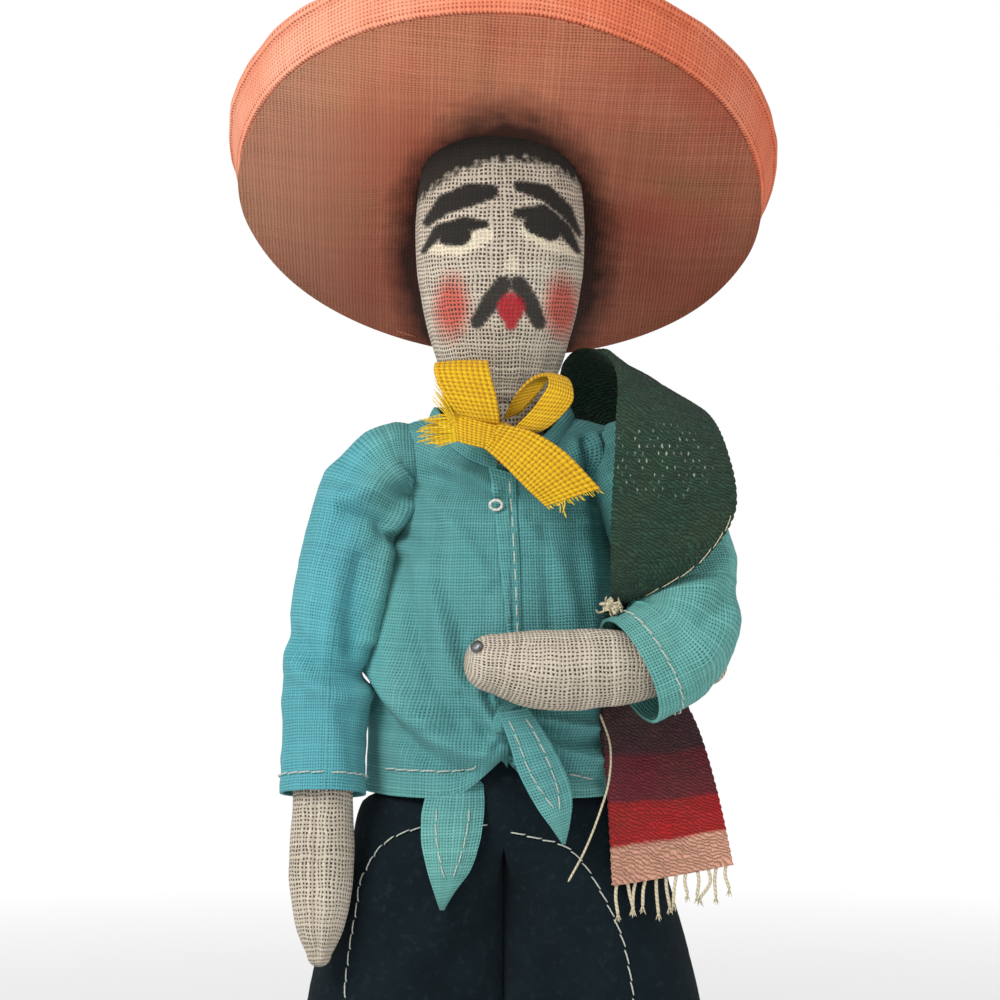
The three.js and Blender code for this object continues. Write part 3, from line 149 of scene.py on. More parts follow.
# %% A shader socket that can be added and multiplied
class Wire:
    """One shader output. Arithmetic on wires adds Math nodes to the material."""

    def __init__(self, tree, socket=None):
        self.tree = tree
        self.socket = socket

    def node(self, kind, settings=None, sockets=None, output=0):
        """Adds a node with its settings and the values or links of its sockets."""
        made = self.tree.nodes.new(kind)
        for name, value in (settings or {}).items():
            setattr(made, name, value)
        for name, value in (sockets or {}).items():
            if isinstance(value, Wire):
                self.tree.links.new(value.socket, made.inputs[name])
            else:
                made.inputs[name].default_value = value
        return Wire(self.tree, made.outputs[output])

    def math(self, operation, *values, clamp=False):
        """One Math node."""
        settings = {"operation": operation, "use_clamp": clamp}
        return self.node("ShaderNodeMath", settings, dict(enumerate(values)))

    def __add__(self, other):
        return self.math("ADD", self, other)

    def __sub__(self, other):
        return self.math("SUBTRACT", self, other)

    def __rsub__(self, other):
        return self.math("SUBTRACT", other, self)

    def __mul__(self, other):
        return self.math("MULTIPLY", self, other)

    def __truediv__(self, other):
        return self.math("DIVIDE", self, other)

    def __mod__(self, other):
        return self.math("FLOORED_MODULO", self, other)

    __radd__ = __add__
    __rmul__ = __mul__

    def floor(self):
        return self.math("FLOOR", self)

    def cos(self):
        return self.math("COSINE", self)

    def size(self):
        return self.math("ABSOLUTE", self)

    def clamped(self):
        return self.math("ADD", self, 0.0, clamp=True)

    def larger(self, other):
        return self.math("MAXIMUM", self, other)

    def smaller(self, other):
        return self.math("MINIMUM", self, other)

    def root(self):
        return self.math("SQRT", self)

    def mix(self, first, second):
        """The first colour where this wire is 0, the second where it is 1."""
        return self.node("ShaderNodeMix", {"data_type": "RGBA"}, {0: self, 6: first, 7: second}, 2)


def soft_step(wire, low, high):
    """0 below low and 1 above high, with a straight ramp between."""
    return ((wire - low) * (1 / (high - low))).clamped()


def colour(code):
    """A screen colour such as CFC4B4 as the linear numbers that a shader takes."""
    parts = [int(code[i : i + 2], 16) / 255 for i in (0, 2, 4)]
    line = [p / 12.92 if p < 0.04045 else ((p + 0.055) / 1.055) ** 2.4 for p in parts]
    return (*line, 1.0)


print("a thread colour in shader numbers", colour("CFC4B4"))

# %% [markdown]
# ## What every finish starts from
#
# Each cloth piece carries a thread map: how far a point lies across and along the cloth, in
# millimetres, as the weaver laid it. Threads drawn on that map follow the piece round its curves
# and stay put when an arm bends. A second attribute, place, holds where a point was at rest, for
# paint, stains and painted light and shade that ignore the threads.


# %% Start of a finish
def new_finish(name, roughness, sheen=0.0):
    """A material, its shader and a wire to build on."""
    material = bpy.data.materials.new(name)
    material.use_nodes = True
    shader = material.node_tree.nodes["Principled BSDF"]
    shader.inputs["Roughness"].default_value = roughness
    shader.inputs["Specular IOR Level"].default_value = 0.25
    shader.inputs["Sheen Weight"].default_value = sheen
    shader.inputs["Sheen Roughness"].default_value = 0.5
    return material, shader, Wire(material.node_tree)


def plug(shader, socket, wire):
    """Links a wire to one of the shader's sockets, so that it varies over the piece."""
    wire.tree.links.new(wire.socket, shader.inputs[socket])


def relief(shader, height, depth):
    """Raises the surface by a height wire, where 1 stands for depth millimetres."""
    bump = height.node("ShaderNodeBump", {}, {"Strength": 1.0, "Distance": depth * MM, "Height": height})
    plug(shader, "Normal", bump)


def parts_of(wire):
    """The x, y and z of a vector wire."""
    split = wire.node("ShaderNodeSeparateXYZ", {}, {0: wire})
    outputs = split.socket.node.outputs
    return [Wire(wire.tree, outputs[k]) for k in range(3)]


def thread_map(start):
    """Millimetres across and along the cloth."""
    return parts_of(start.node("ShaderNodeUVMap", {"uv_map": "threads"}))[:2]


def place_of(start):
    """Where a point was at rest, in doll millimetres."""
    return start.node("ShaderNodeAttribute", {"attribute_name": "place"}, output=1)


def moved_place(start, step):
    """The place, moved by a step so that a second noise doesn't repeat the first."""
    return start.node("ShaderNodeVectorMath", {"operation": "ADD"}, {0: place_of(start), 1: step})


def from_middle(x, z, middle, halves):
    """Distance from a middle (x, z), where 1 is the edge of an oval with these half widths."""
    off_x, off_z = (x - middle[0]) / halves[0], (z - middle[1]) / halves[1]
    return (off_x * off_x + off_z * off_z).root()


def cloud(start, scale, detail=2.0, vector=None, roughness=0.5):
    """Soft noise from 0 to 1 over the piece, scale in blotches per millimetre."""
    where = vector or place_of(start)
    sockets = {"Vector": where, "Scale": scale, "Detail": detail, "Roughness": roughness}
    return start.node("ShaderNodeTexNoise", {}, sockets)


def of_row(row, seed):
    """A number from 0 to 1 for each whole row."""
    return row.node("ShaderNodeTexWhiteNoise", {"noise_dimensions": "1D"}, {"W": row + seed})


# %% [markdown]
# ## A plain weave
#
# One thread over, one under. In each little cell of the thread map one of two crossing threads is
# on top, in turn like a chessboard. A thread is round across and dips where it goes under. Where
# neither thread reaches, the cloth has a hole, which is wide in gauze and a pinprick in cotton.


# %% Weave
def plain_weave(start, pitch, half, wander=0.12, squeeze=1.0, uneven=0.4):
    """Height, cover and shade of a plain weave. half is a thread's half width in pitches."""
    across, along = thread_map(start)
    drift = cloud(start, 0.35, 3) - 0.5
    drift_too = cloud(start, 0.31, 3, vector=moved_place(start, (31.0, 7.0, 19.0))) - 0.5
    u = across / pitch + drift * (8 * wander)
    v = along / (pitch * squeeze) + drift_too * (8 * wander)
    column, row = u.floor(), v.floor()
    side_u, side_v = u - column - 0.5, v - row - 0.5
    over = (column + row) % 2 * 2 - 1
    slub = (cloud(start, 0.8, 3) - 0.5) * uneven
    thick_u = half * (1 - uneven / 2 + uneven * of_row(column, 3) + slub)
    thick_v = half * (1 - uneven / 2 + uneven * of_row(row, 11) - slub)
    warp = 1 - (side_u / thick_u) * (side_u / thick_u)
    weft = 1 - (side_v / thick_v) * (side_v / thick_v)
    warp_high = warp.clamped() + over * (side_v * math.pi).cos() * 0.6 * soft_step(warp, -0.2, 0.3)
    weft_high = weft.clamped() - over * (side_u * math.pi).cos() * 0.6 * soft_step(weft, -0.2, 0.3)
    height = warp_high.larger(weft_high)
    cover = soft_step(warp.larger(weft), -0.15, 0.45)
    shade = of_row(column, 5) * 0.5 + of_row(row, 17) * 0.5
    return height * 0.5, cover, shade


# %% [markdown]
# ## Cloth finishes
#
# Every cloth here is a plain weave with its own thread, colour and dirt. Gauze is open and shows
# the dark gaps over its stuffing. The shirt's cotton is fine and bright, with painted shade over the
# middle of the body. The hat's cloth is coarse and paled by the sun, with painted light towards the
# doll's right, and its lining is stained, with painted shade round the head and low down and painted
# light high up. Felt has no threads at all, only matted fibre.


# %% Gauze skin, with or without paint
def gauze_finish(name, pitch=0.7, paint=None, half=0.3):
    """Open, uneven gauze over stuffing. paint returns new thread colours and cover."""
    material, shader, start = new_finish(name, 0.95, 0.04)
    height, cover, shade = plain_weave(start, pitch, half, 0.2, uneven=0.6)
    dirt = cloud(start, 0.12, 3)
    thread = shade.mix(colour("C3B7A6"), colour("E6DAC8"))
    thread = (dirt * 0.5).mix(thread, colour("A99B88"))
    if paint:
        thread, cover = paint(start, thread, cover)
    skin = cover.mix(colour("473D35"), thread)
    lit = soft_step(height, 0.05, 0.5)
    plug(shader, "Base Color", (lit * 0.25 + 0.75).mix(colour("000000"), skin))
    relief(shader, height * cover, 0.16)
    return material


# %% Cotton, hat cloth and lining
def woven_finish(name, pitch, half, light, dark, hole, wander, depth, sheen, stains_and_light):
    """A closer plain weave. Its last argument takes the start wire and the thread colour and returns the
    colour, with stains, fading, painted light and painted shade.
    """
    material, shader, start = new_finish(name, 0.9, sheen)
    height, cover, shade = plain_weave(start, pitch, half, wander)
    thread = (shade * 0.6 + cloud(start, 0.09, 3) * 0.4).mix(colour(dark), colour(light))
    thread = stains_and_light(start, thread)
    lit = soft_step(height, 0.0, 0.55)
    thread = (0.66 + lit * 0.34).mix(colour(hole), thread)
    plug(shader, "Base Color", cover.mix(colour(hole), thread))
    relief(shader, height * cover, depth)
    return material


def sleeve_blue_and_shade(start, thread):
    """The right sleeve has kept more of its blue, the body is washed out in clouds, and painted shade darkens
    the middle of the body above the hem.
    """
    x, _, z = parts_of(place_of(start))
    washed = soft_step(cloud(start, 0.05, 3), 0.4, 0.65)
    thread = (washed * 0.3).mix(thread, colour("6F9C96"))
    # Painted shade: the middle of the body, above the hem, is darkened towards a deeper blue-green.
    deep = soft_step(20.0 - x.size(), 0.0, 5.0) * soft_step(z, 106.0, 116.0)
    thread = (deep * 0.5).mix(thread, colour("4A8A92"))
    return (soft_step(0 - x, 17.0, 23.0) * 0.45).mix(thread, colour("46A8C4"))


def lining_stains_and_shade(start, thread):
    """Maroon and olive stains in the dyed lining, with painted shade close round the head and towards the
    bottom, and painted light towards the top and the doll's right.
    """
    x, _, z = parts_of(place_of(start))
    from_head = from_middle(x, z, (0.3, 198), (18.6, 21.5))
    # Painted shade on the lining close round the head.
    head_shade = 1 - soft_step(from_head + (cloud(start, 0.3, 3) - 0.5) * 0.2, 0.84, 1.08)
    blotch = soft_step(cloud(start, 0.035, 4), 0.42, 0.62)
    olive = soft_step(cloud(start, 0.05, 3, vector=moved_place(start, (90.0, 40.0, 10.0))), 0.5, 0.7)
    thread = (blotch * 0.8).mix(thread, colour("AC4632"))
    thread = (olive * 0.6).mix(thread, colour("967046"))
    # Painted shade towards the bottom and the doll's left, and painted light towards the top and the doll's
    # right.
    low_shade = soft_step(x * 0.25 - z + cloud(start, 0.04, 3) * 30, -208.0, -172.0)
    upper_light = soft_step(z - x * 0.3 + cloud(start, 0.06, 3) * 24, 216.0, 258.0)
    side_light = soft_step(0 - x + cloud(start, 0.07, 3) * 14, 22.0, 40.0)
    thread = (upper_light * 0.6).mix(thread, colour("F0A47C"))
    thread = (side_light * 0.5).mix(thread, colour("BE967A"))
    thread = (low_shade * 0.5).mix(thread, colour("74402F"))
    return (head_shade * 0.93).mix(thread, colour("170E0C"))


def faded_and_lit(start, thread):
    """The upper hat cloth, paled by the sun here and there, with painted light towards the doll's right."""
    x = parts_of(place_of(start))[0]
    # Paling by the sun in clouds, plus painted light that grows towards the doll's right.
    bleach_and_light = soft_step(cloud(start, 0.06, 3), 0.45, 0.7) * 0.35 + soft_step(0 - x, -12.0, 30.0) * 0.4
    return bleach_and_light.mix(thread, colour("F6B294"))


shirt_cotton = woven_finish("shirt_cotton", 0.48, 0.41, "7CC4BF", "52998F", "103A3F",
                            wander=0.09, depth=0.18, sheen=0.04, stains_and_light=sleeve_blue_and_shade)
hat_cloth = woven_finish("hat_cloth", 0.66, 0.41, "EE8560", "D66A49", "8A3A26",
                         wander=0.08, depth=0.2, sheen=0.02, stains_and_light=faded_and_lit)
lining_cloth = woven_finish("lining_cloth", 0.55, 0.42, "D08466", "A65842", "52281E",
                            wander=0.1, depth=0.2, sheen=0.0, stains_and_light=lining_stains_and_shade)
plain_gauze = gauze_finish("plain_gauze")
hand_gauze = gauze_finish("hand_gauze", 0.66, half=0.32)
print("cloth finishes", [m.name for m in (shirt_cotton, hat_cloth, lining_cloth, plain_gauze)])

# %% [markdown]
# ## The painted face
#
# The face is brushed straight onto the gauze: brows, heavy lids, eyes with a dab of cream, a
# forked moustache, a red mouth, two rouge spots and a dark hairline. Each mark is a row of round
# brush dabs joined by straight strokes, so its edge is a distance from a line, which the shader
# works out from where the point lies on the head. Paint soaks the threads and half fills the holes.


# %% Brush strokes
def stroke(x, z, dabs):
    """Distance in millimetres from the edge of a stroke through dabs of (x, z, radius)."""
    nearest = None
    for (ax, az, ar), (bx, bz, br) in zip(dabs, dabs[1:]):
        run_x, run_z = bx - ax, bz - az
        from_x, from_z = x - ax, z - az
        share = ((from_x * run_x + from_z * run_z) * (1 / (run_x**2 + run_z**2))).clamped()
        off_x, off_z = from_x - share * run_x, from_z - share * run_z
        edge = (off_x * off_x + off_z * off_z).root() - (share * (br - ar) + ar)
        nearest = edge if nearest is None else nearest.smaller(edge)
    return nearest


DARK_MARKS = [
    [(-11.4, 202.2, 0.7), (-8.6, 204.7, 1.55), (-4.6, 206.0, 1.75), (-1.4, 206.4, 1.1)],
    [(3.0, 207.3, 0.8), (7.0, 206.4, 1.35), (10.4, 203.8, 1.1), (12.4, 200.6, 0.45)],
    [(-12.0, 197.7, 0.4), (-9.6, 200.5, 1.0), (-5.6, 201.3, 1.2), (-2.3, 201.3, 0.5)],
    [(-7.9, 200.0, 1.8), (-6.2, 199.8, 1.7)],
    [(2.8, 203.0, 0.8), (6.6, 203.2, 1.3), (10.2, 200.8, 1.1), (12.2, 197.8, 0.5)],
    [(5.6, 201.6, 1.8), (7.8, 200.7, 1.8)],
]
MOUSTACHE = [
    [(0.5, 192.0, 1.25), (-1.4, 189.4, 1.4), (-3.6, 186.2, 1.0)],
    [(2.9, 192.0, 1.25), (4.5, 189.4, 1.4), (6.1, 186.2, 1.0)],
]
CREAM_MARKS = [
    [(-11.0, 197.9, 0.7), (-6.4, 197.3, 0.9), (-2.6, 199.7, 1.4)],
    [(3.9, 200.2, 0.9), (8.0, 198.1, 0.9), (11.9, 197.2, 0.7)],
]
NOSE_MARK = [[(1.9, 196.2, 0.7), (1.9, 195.0, 1.05)]]
MOUTH = [[(1.7, 190.0, 0.8), (1.7, 188.3, 2.1), (1.7, 185.9, 0.9)]]
CHEEKS, CHEEK_SIZE = [(-7.6, 188.6), (9.8, 188.7)], (3.0, 5.2)
NOSE_X, HAIRLINE = 1.9, 211.4


# %% Paint over the gauze
def face_paint(start, thread, cover):
    """Adds the painted marks to the gauze colour, and fills the gauze a little under them."""
    x, y, z = parts_of(place_of(start))
    ragged = (cloud(start, 1.6, 3) - 0.5) * 0.7
    front = soft_step(0 - y, 0.5, 2.5)

    def marked(marks, soft=0.22):
        edges = [stroke(x, z, dabs) for dabs in marks]
        edge = edges[0]
        for other in edges[1:]:
            edge = edge.smaller(other)
        return soft_step(0 - (edge + ragged * 0.9 + (0.6 - cover) * 0.3), -soft, soft) * front

    for cheek in CHEEKS:
        spread = from_middle(x, z, cheek, CHEEK_SIZE)
        rouge = soft_step(1.25 - spread + ragged * 0.25, 0.0, 0.75) * front
        thread = (rouge * 0.9).mix(thread, colour("CC5546"))
    above_hairline = z - HAIRLINE + (x - NOSE_X) * (x - NOSE_X) * 0.026 + (cloud(start, 0.9, 3) - 0.5) * 4
    behind = soft_step(y, 1.0, 4.0) * soft_step(z, 190.0, 197.0)
    paints = [
        (marked(CREAM_MARKS).larger(marked(NOSE_MARK) * 0.8), 0.9, "E6DAC0"),
        (marked(DARK_MARKS), 0.97, "0D0D0E"),
        (marked(MOUSTACHE), 0.94, "141517"),
        (marked(MOUTH, 0.3), 0.95, "B01828"),
        (soft_step(above_hairline, -0.6, 0.8).larger(behind), 0.96, "0F0B09"),
    ]
    painted = paints[0][0]
    for mark, strength, code in paints:
        thread = (mark * strength).mix(thread, colour(code))
        painted = painted.larger(mark)
    return thread, cover.larger(painted * 0.88)


painted_gauze = gauze_finish("painted_gauze", 0.66, face_paint)
print("face finish nodes", len(painted_gauze.node_tree.nodes))

# %% [markdown]
# ## Felt, ribbon, wool and thread
#
# Felt is matted fibre: fine random hair in every direction and a dull bloom. The ribbon is
# woven of fat flat yarns with a soft shine. The sarape is weft-faced: fat wool yarns beaten
# down over hidden warps, so it shows rows of slanting grains in stripes.


# %% Felt
def felt_finish():
    """Matted fibre with pills and no shine."""
    material, shader, start = new_finish("felt", 1.0, 0.02)
    shader.inputs["Specular IOR Level"].default_value = 0.06
    fibre = cloud(start, 3.2, 6, roughness=0.75)
    bloom = cloud(start, 0.16, 4)
    pill = soft_step(cloud(start, 0.9, 4), 0.55, 0.75)
    dye = (bloom * 0.6 + fibre * 0.4).mix(colour("0A1115"), colour("1D2A30"))
    dye = (pill * 0.25).mix(dye, colour("33434A"))
    plug(shader, "Base Color", dye)
    relief(shader, fibre * 0.8 + bloom * 0.2, 0.35)
    return material


# %% Woven ribbon
def ribbon_finish():
    """Fat flat yarns in a plain weave, with a soft shine where they ride on top."""
    material, shader, start = new_finish("ribbon_satin", 0.5, 0.1)
    height, cover, shade = plain_weave(start, 0.96, 0.48, 0.03, 0.76, 0.3)
    lit = soft_step(height, 0.1, 0.72)
    dye = (shade * 0.6 + cloud(start, 0.2, 3) * 0.4).mix(colour("D9A204"), colour("F4C80C"))
    dye = (lit * 0.65 + 0.35).mix(colour("9A6200"), dye)
    plug(shader, "Base Color", cover.mix(colour("9A6200"), dye))
    plug(shader, "Roughness", 0.62 - lit * 0.2)
    relief(shader, height * cover, 0.34)
    return material


# %% Wool stripes
STRIP_WIDTH, WEFT, GRAIN = 19.0, 0.62, 1.15
STRIPES = [(5.4, 6.0, "BE2428"), (11.6, 12.4, "7C2A38"), (19.0, 20.2, "543238"), (31.0, 32.0, "2A4A39")]
FLECKED = (24.9, 164.4), (8.0, 6.0)
FLECK_OVER, FLECK_DOWN = 1.25, 1.15


def sarape_finish(length):
    """Stripes across the strip that repeat from each end, and pale flecks on its front."""
    material, shader, start = new_finish("sarape_wool", 0.95, 0.04)
    across, along = thread_map(start)
    waver = (cloud(start, 0.25, 3) - 0.5) * 1.6
    grain = (cloud(start, 2.4, 4) - 0.5) * 0.5
    from_front = along + waver * 0.6 + grain - (across - STRIP_WIDTH / 2) * 0.03
    from_back = length - along + waver * 0.6 + grain
    reach = from_front.smaller(from_back)
    v = along / WEFT + (cloud(start, 0.3, 3) - 0.5) * 3.5
    u_plain = across / GRAIN + (cloud(start, 0.4, 3) - 0.5) * 1.6
    lean = (u_plain - u_plain.floor() - 0.5) * 0.7
    row = (v + lean).floor()
    u = u_plain + (row % 2) * 0.5
    column = u.floor()
    ridge = ((v + lean - row - 0.5) * math.pi).cos()
    swell = ridge * (((u - column - 0.5) * 2.6).cos() * 0.6 + 0.4)
    swell = swell * (cloud(start, 1.1, 3) * 0.9 + 0.5)
    dye = colour("EAAC92")
    for low, high, code in STRIPES:
        dye = soft_step(reach, low, high).mix(dye, colour(code))
    yarn = of_row(column + row * 13.7, 3)
    inner = soft_step(reach, 10.0, 32.0)
    dye = (yarn * (0.14 + inner * 0.36)).mix(dye, colour("131D19"))
    dye = (soft_step(cloud(start, 0.12, 3), 0.4, 0.7) * 0.2).mix(dye, colour("49513A"))
    # Painted shade: the dips between the grains are darkened, more so in the inner stripes.
    groove_shade = 0.48 - inner * 0.18
    dye = (soft_step(swell, 0.0, 0.6) * (1 - groove_shade) + groove_shade).mix(colour("0A100E"), dye)
    x, y, z = parts_of(place_of(start))
    far = from_middle(x, z, *FLECKED)
    knot_v = along / FLECK_DOWN
    knot_row = knot_v.floor()
    knot_u = across / FLECK_OVER + (knot_row % 2) * 0.5
    off_u = (knot_u - knot_u.floor() - 0.5) * FLECK_OVER + (cloud(start, 0.9) - 0.5) * 0.7
    off_v = (knot_v - knot_row - 0.5) * FLECK_DOWN + (cloud(start, 1.1) - 0.5) * 0.7
    fleck = 1 - soft_step(off_u.size() * 2.2 + off_v.size(), 0.16, 0.42)
    bright = soft_step(of_row(knot_u.floor() * 3.1 + knot_row * 7.3, 9), 0.25, 1.0)
    fleck = fleck * bright * soft_step(1.15 - far, 0.0, 0.5) * soft_step(0 - y, 8.0, 10.0)
    dye = (fleck * 0.85).mix(dye, colour("C9D6C4"))
    plug(shader, "Base Color", dye)
    relief(shader, swell + cloud(start, 3.5, 4) * 0.5, 0.3)
    return material


# %% Thread, leather, wood and steel
def thread_finish(name, light, dark):
    """Twisted cotton thread, lit and dark along its ply."""
    material, shader, start = new_finish(name, 0.85, 0.3)
    across, along = thread_map(start)
    ply = ((along * 9 + across * 6).cos() * 0.5 + 0.5)
    plug(shader, "Base Color", (ply * 0.6 + cloud(start, 0.8) * 0.4).mix(colour(dark), colour(light)))
    relief(shader, ply, 0.03)
    return material


def leather_finish():
    """Scuffed dark leather with a fine grain."""
    material, shader, start = new_finish("shoe_leather", 0.45)
    cells = {"Vector": place_of(start), "Scale": 1.6}
    grain = start.node("ShaderNodeTexVoronoi", {"feature": "DISTANCE_TO_EDGE"}, cells)
    scuff = cloud(start, 0.35, 5)
    plug(shader, "Base Color", scuff.mix(colour("0C0A09"), colour("2A211C")))
    plug(shader, "Roughness", scuff * 0.35 + 0.35)
    relief(shader, soft_step(grain, 0.0, 0.12) + scuff * 0.4, 0.05)
    return material


def steel_finish():
    """Dull steel with small pits."""
    material, shader, start = new_finish("pin_steel", 0.35)
    shader.inputs["Metallic"].default_value = 1.0
    pits = cloud(start, 2.2, 4)
    plug(shader, "Base Color", pits.mix(colour("2E2F33"), colour("8B8C90")))
    plug(shader, "Roughness", pits * 0.3 + 0.25)
    relief(shader, pits, 0.06)
    return material


def wood_finish():
    """Plain wood with its grain along the stick."""
    material, shader, start = new_finish("stick_wood", 0.7)
    x, y, z = parts_of(place_of(start))
    rings = start.node("ShaderNodeCombineXYZ", {}, {0: x * 1.5, 1: y * 1.5, 2: z * 0.08})
    grain = cloud(start, 1.0, 4, vector=rings)
    plug(shader, "Base Color", grain.mix(colour("8A6840"), colour("C79F68")))
    relief(shader, grain, 0.05)
    return material


felt = felt_finish()
ribbon_satin = ribbon_finish()
white_thread = thread_finish("white_thread", "ECEBE2", "B9B8AC")
dull_thread = thread_finish("dull_thread", "D5D3C6", "9FA79F")
cream_thread = thread_finish("cream_thread", "E3D9BD", "A99B7A")
yellow_thread = thread_finish("yellow_thread", "F7D92A", "D2A30C")
turquoise_thread = thread_finish("turquoise_thread", "59C5CB", "2F8E96")
shoe_leather = leather_finish()
pin_steel = steel_finish()
stick_wood = wood_finish()
print("other finishes", [m.name for m in (felt, ribbon_satin, shoe_leather, pin_steel)])

# %% [markdown]
# ## From a grid of points to cloth
#
# Nearly every piece is a grid: rows run down the cloth and columns run across it. The helper below
# turns a grid into a closed mesh, lays the thread map on it in real millimetres, and remembers the
# place of each point. Cloth gets a second face under the first and hems that join the two, and a
# stuffed piece is closed at both ends instead.


# %% Mesh from points and faces
def piece_of(name, points, faces, corners, material):
    """A smooth mesh object from doll millimetres. corners is the thread map of every face corner."""
    mesh = bpy.data.meshes.new(name)
    mesh.from_pydata(to_frame(points).tolist(), [], [list(face) for face in faces])
    layer = mesh.uv_layers.new(name="threads")
    layer.uv.foreach_set("vector", np.asarray(corners, np.float32).ravel())
    place = mesh.attributes.new("place", "FLOAT_VECTOR", "POINT")
    place.data.foreach_set("vector", np.asarray(points, np.float32).ravel())
    mesh.polygons.foreach_set("use_smooth", [True] * len(mesh.polygons))
    mesh.set_sharp_from_angle(angle=math.radians(60))
    mesh.materials.append(material)
    mesh.update()
    piece = bpy.data.objects.new(name, mesh)
    put_in_scene(piece)
    return piece


def run_along(line):
    """How far each point of a line is from its start."""
    return np.concatenate([[0], np.cumsum(np.linalg.norm(np.diff(line, axis=0), axis=1))])


def run_down(grid):
    """How far each row of a grid is from the first, on average over its columns."""
    return np.concatenate([[0], np.cumsum(np.linalg.norm(np.diff(grid, axis=0), axis=2).mean(1))])


def ways_of(line):
    """Unit directions along a line of points."""
    ways = np.gradient(line, axis=0)
    return ways / np.maximum(np.linalg.norm(ways, axis=1, keepdims=True), 1e-9)


def quads(rows, columns, around):
    """Row and column of each face corner of a grid."""
    across = columns if around else columns - 1
    row, column = np.meshgrid(np.arange(rows - 1), np.arange(across), indexing="ij")
    row, column = row.ravel(), column.ravel()
    return np.stack([row, row, row + 1, row + 1], 1), np.stack([column, column + 1, column + 1, column], 1)


def grid_normals(grid, around):
    """Unit normals of a grid of points."""
    down = np.gradient(grid, axis=0)
    if around:
        over = (np.roll(grid, -1, 1) - np.roll(grid, 1, 1)) / 2
    else:
        over = np.gradient(grid, axis=1)
    normals = np.cross(over, down)
    return normals / np.maximum(np.linalg.norm(normals, axis=2, keepdims=True), 1e-9)


def outward_normals(grid):
    """Normals of a grid of closed rings that point away from the rings' middles."""
    normals = grid_normals(grid, True)
    away = ((grid - grid.mean(1, keepdims=True)) * normals).sum()
    return normals if away > 0 else -normals


def volume_of(points, faces):
    """Six times the signed volume inside closed faces."""
    fans = [(face[0], one, two) for face in faces for one, two in zip(face[1:-1], face[2:])]
    first, second, third = np.array(fans).T
    return float((points[first] * np.cross(points[second], points[third])).sum())


def from_grid(name, grid, material, thickness=None, around=False, lift=0.5, width=None, keep=None,
              inside=None, flat=None):
    """Cloth through a grid, or a closed stuffed form if no thickness is given.

    lift is the share of the thickness that lies under the grid. width is the cloth's real width,
    keep leaves out some squares, inside is a point on the cloth's under side, and flat is a thread
    map for cloth that was cut flat.
    """
    grid = np.asarray(grid, float)
    rows, columns = grid.shape[:2]
    side = np.concatenate([grid, grid[:, :1]], 1) if around else grid
    run = np.linalg.norm(np.diff(side, axis=1), axis=2).sum(1)
    width = width or float(np.percentile(run, 75))
    length = run_down(grid)
    steps = columns if around else columns - 1
    at_row, at_column = quads(rows, columns, around)
    if keep is not None:
        kept = keep[at_row[:, 0], at_column[:, 0]]
        at_row, at_column = at_row[kept], at_column[kept]
    maps = np.stack([at_column / steps * width, length[at_row]], 2)
    if flat is not None:
        maps = flat[at_row, at_column % columns]
    squares = at_row * columns + at_column % columns
    if thickness is not None:
        normals = grid_normals(grid, around)
        middle = grid.mean(1, keepdims=True) if around else np.array(inside or (0, 1e4, 0), float)
        if ((grid - middle) * normals).sum() < 0:
            normals = -normals
        deep = np.asarray(thickness, float)
        deep = deep[..., None] if deep.ndim else deep
        points = np.concatenate([(grid + normals * deep * (1 - lift)).reshape(-1, 3),
                                 (grid - normals * deep * lift).reshape(-1, 3)])
        under = rows * columns
        edges = {}
        for square, spots in zip(squares.tolist(), maps.tolist()):
            for k in range(4):
                edges[(square[k], square[(k + 1) % 4])] = (spots[k], spots[(k + 1) % 4])
        hems = [(a, b, *spots) for (a, b), spots in edges.items() if (b, a) not in edges]
        faces = squares.tolist() + (squares[:, ::-1] + under).tolist()
        faces += [[b, a, a + under, b + under] for a, b, _, _ in hems]
        corners = maps.reshape(-1, 2).tolist() + maps[:, ::-1].reshape(-1, 2).tolist()
        for _, _, one, two in hems:
            corners += [two, one, one, two]
    else:
        points = grid.reshape(-1, 3)
        faces = squares.tolist()
        corners = maps.reshape(-1, 2).tolist()
        for row, cap in ((0, range(columns - 1, -1, -1)), (rows - 1, range(columns))):
            faces.append([row * columns + c for c in cap])
            corners += [(c / steps * width, length[row]) for c in cap]
    return closed_piece(name, points, faces, corners, material)


def closed_piece(name, points, faces, corners, material):
    """A piece from closed faces, turned so that they look out."""
    corners = np.array(corners, float)
    if volume_of(points, faces) < 0:
        starts = np.cumsum([0] + [len(face) for face in faces])
        corners = np.concatenate([corners[a:b][::-1] for a, b in zip(starts, starts[1:])])
        faces = [face[::-1] for face in faces]
    return piece_of(name, points, faces, corners, material)


# %% Threads and stitches
SEWING_THREAD, FAR_FRONT = 0.11, -80


def threads(name, lines, material, radius=0.12, sides=6, taper=0.35):
    """Round threads along lines of points, all in one piece."""
    points, faces, corners = [], [], []
    for line in lines:
        line = np.asarray(line, float)
        ways = ways_of(line)
        length = run_along(line)
        side = unit(np.cross(ways[0], [0.3, 0.5, 0.8]))
        base = len(points)
        for k, (point, way) in enumerate(zip(line, ways)):
            side = unit(side - way * (side @ way))
            up = np.cross(way, side)
            here = radius * (taper if k in (0, len(line) - 1) else 1)
            for turn in all_round(sides):
                points.append(point + here * (math.cos(turn) * side + math.sin(turn) * up))
        for k in range(len(line) - 1):
            for s in range(sides):
                a, b = base + k * sides + s, base + k * sides + (s + 1) % sides
                faces.append([a, b, b + sides, a + sides])
                near, far = s / sides * radius * 6, (s + 1) / sides * radius * 6
                corners += [(near, length[k]), (far, length[k]), (far, length[k + 1]), (near, length[k + 1])]
        last = base + (len(line) - 1) * sides
        faces += [[base + s for s in range(sides)][::-1], [last + s for s in range(sides)]]
        corners += [(0, 0)] * sides + [(0, length[-1])] * sides
    return closed_piece(name, np.array(points), faces, corners, material)


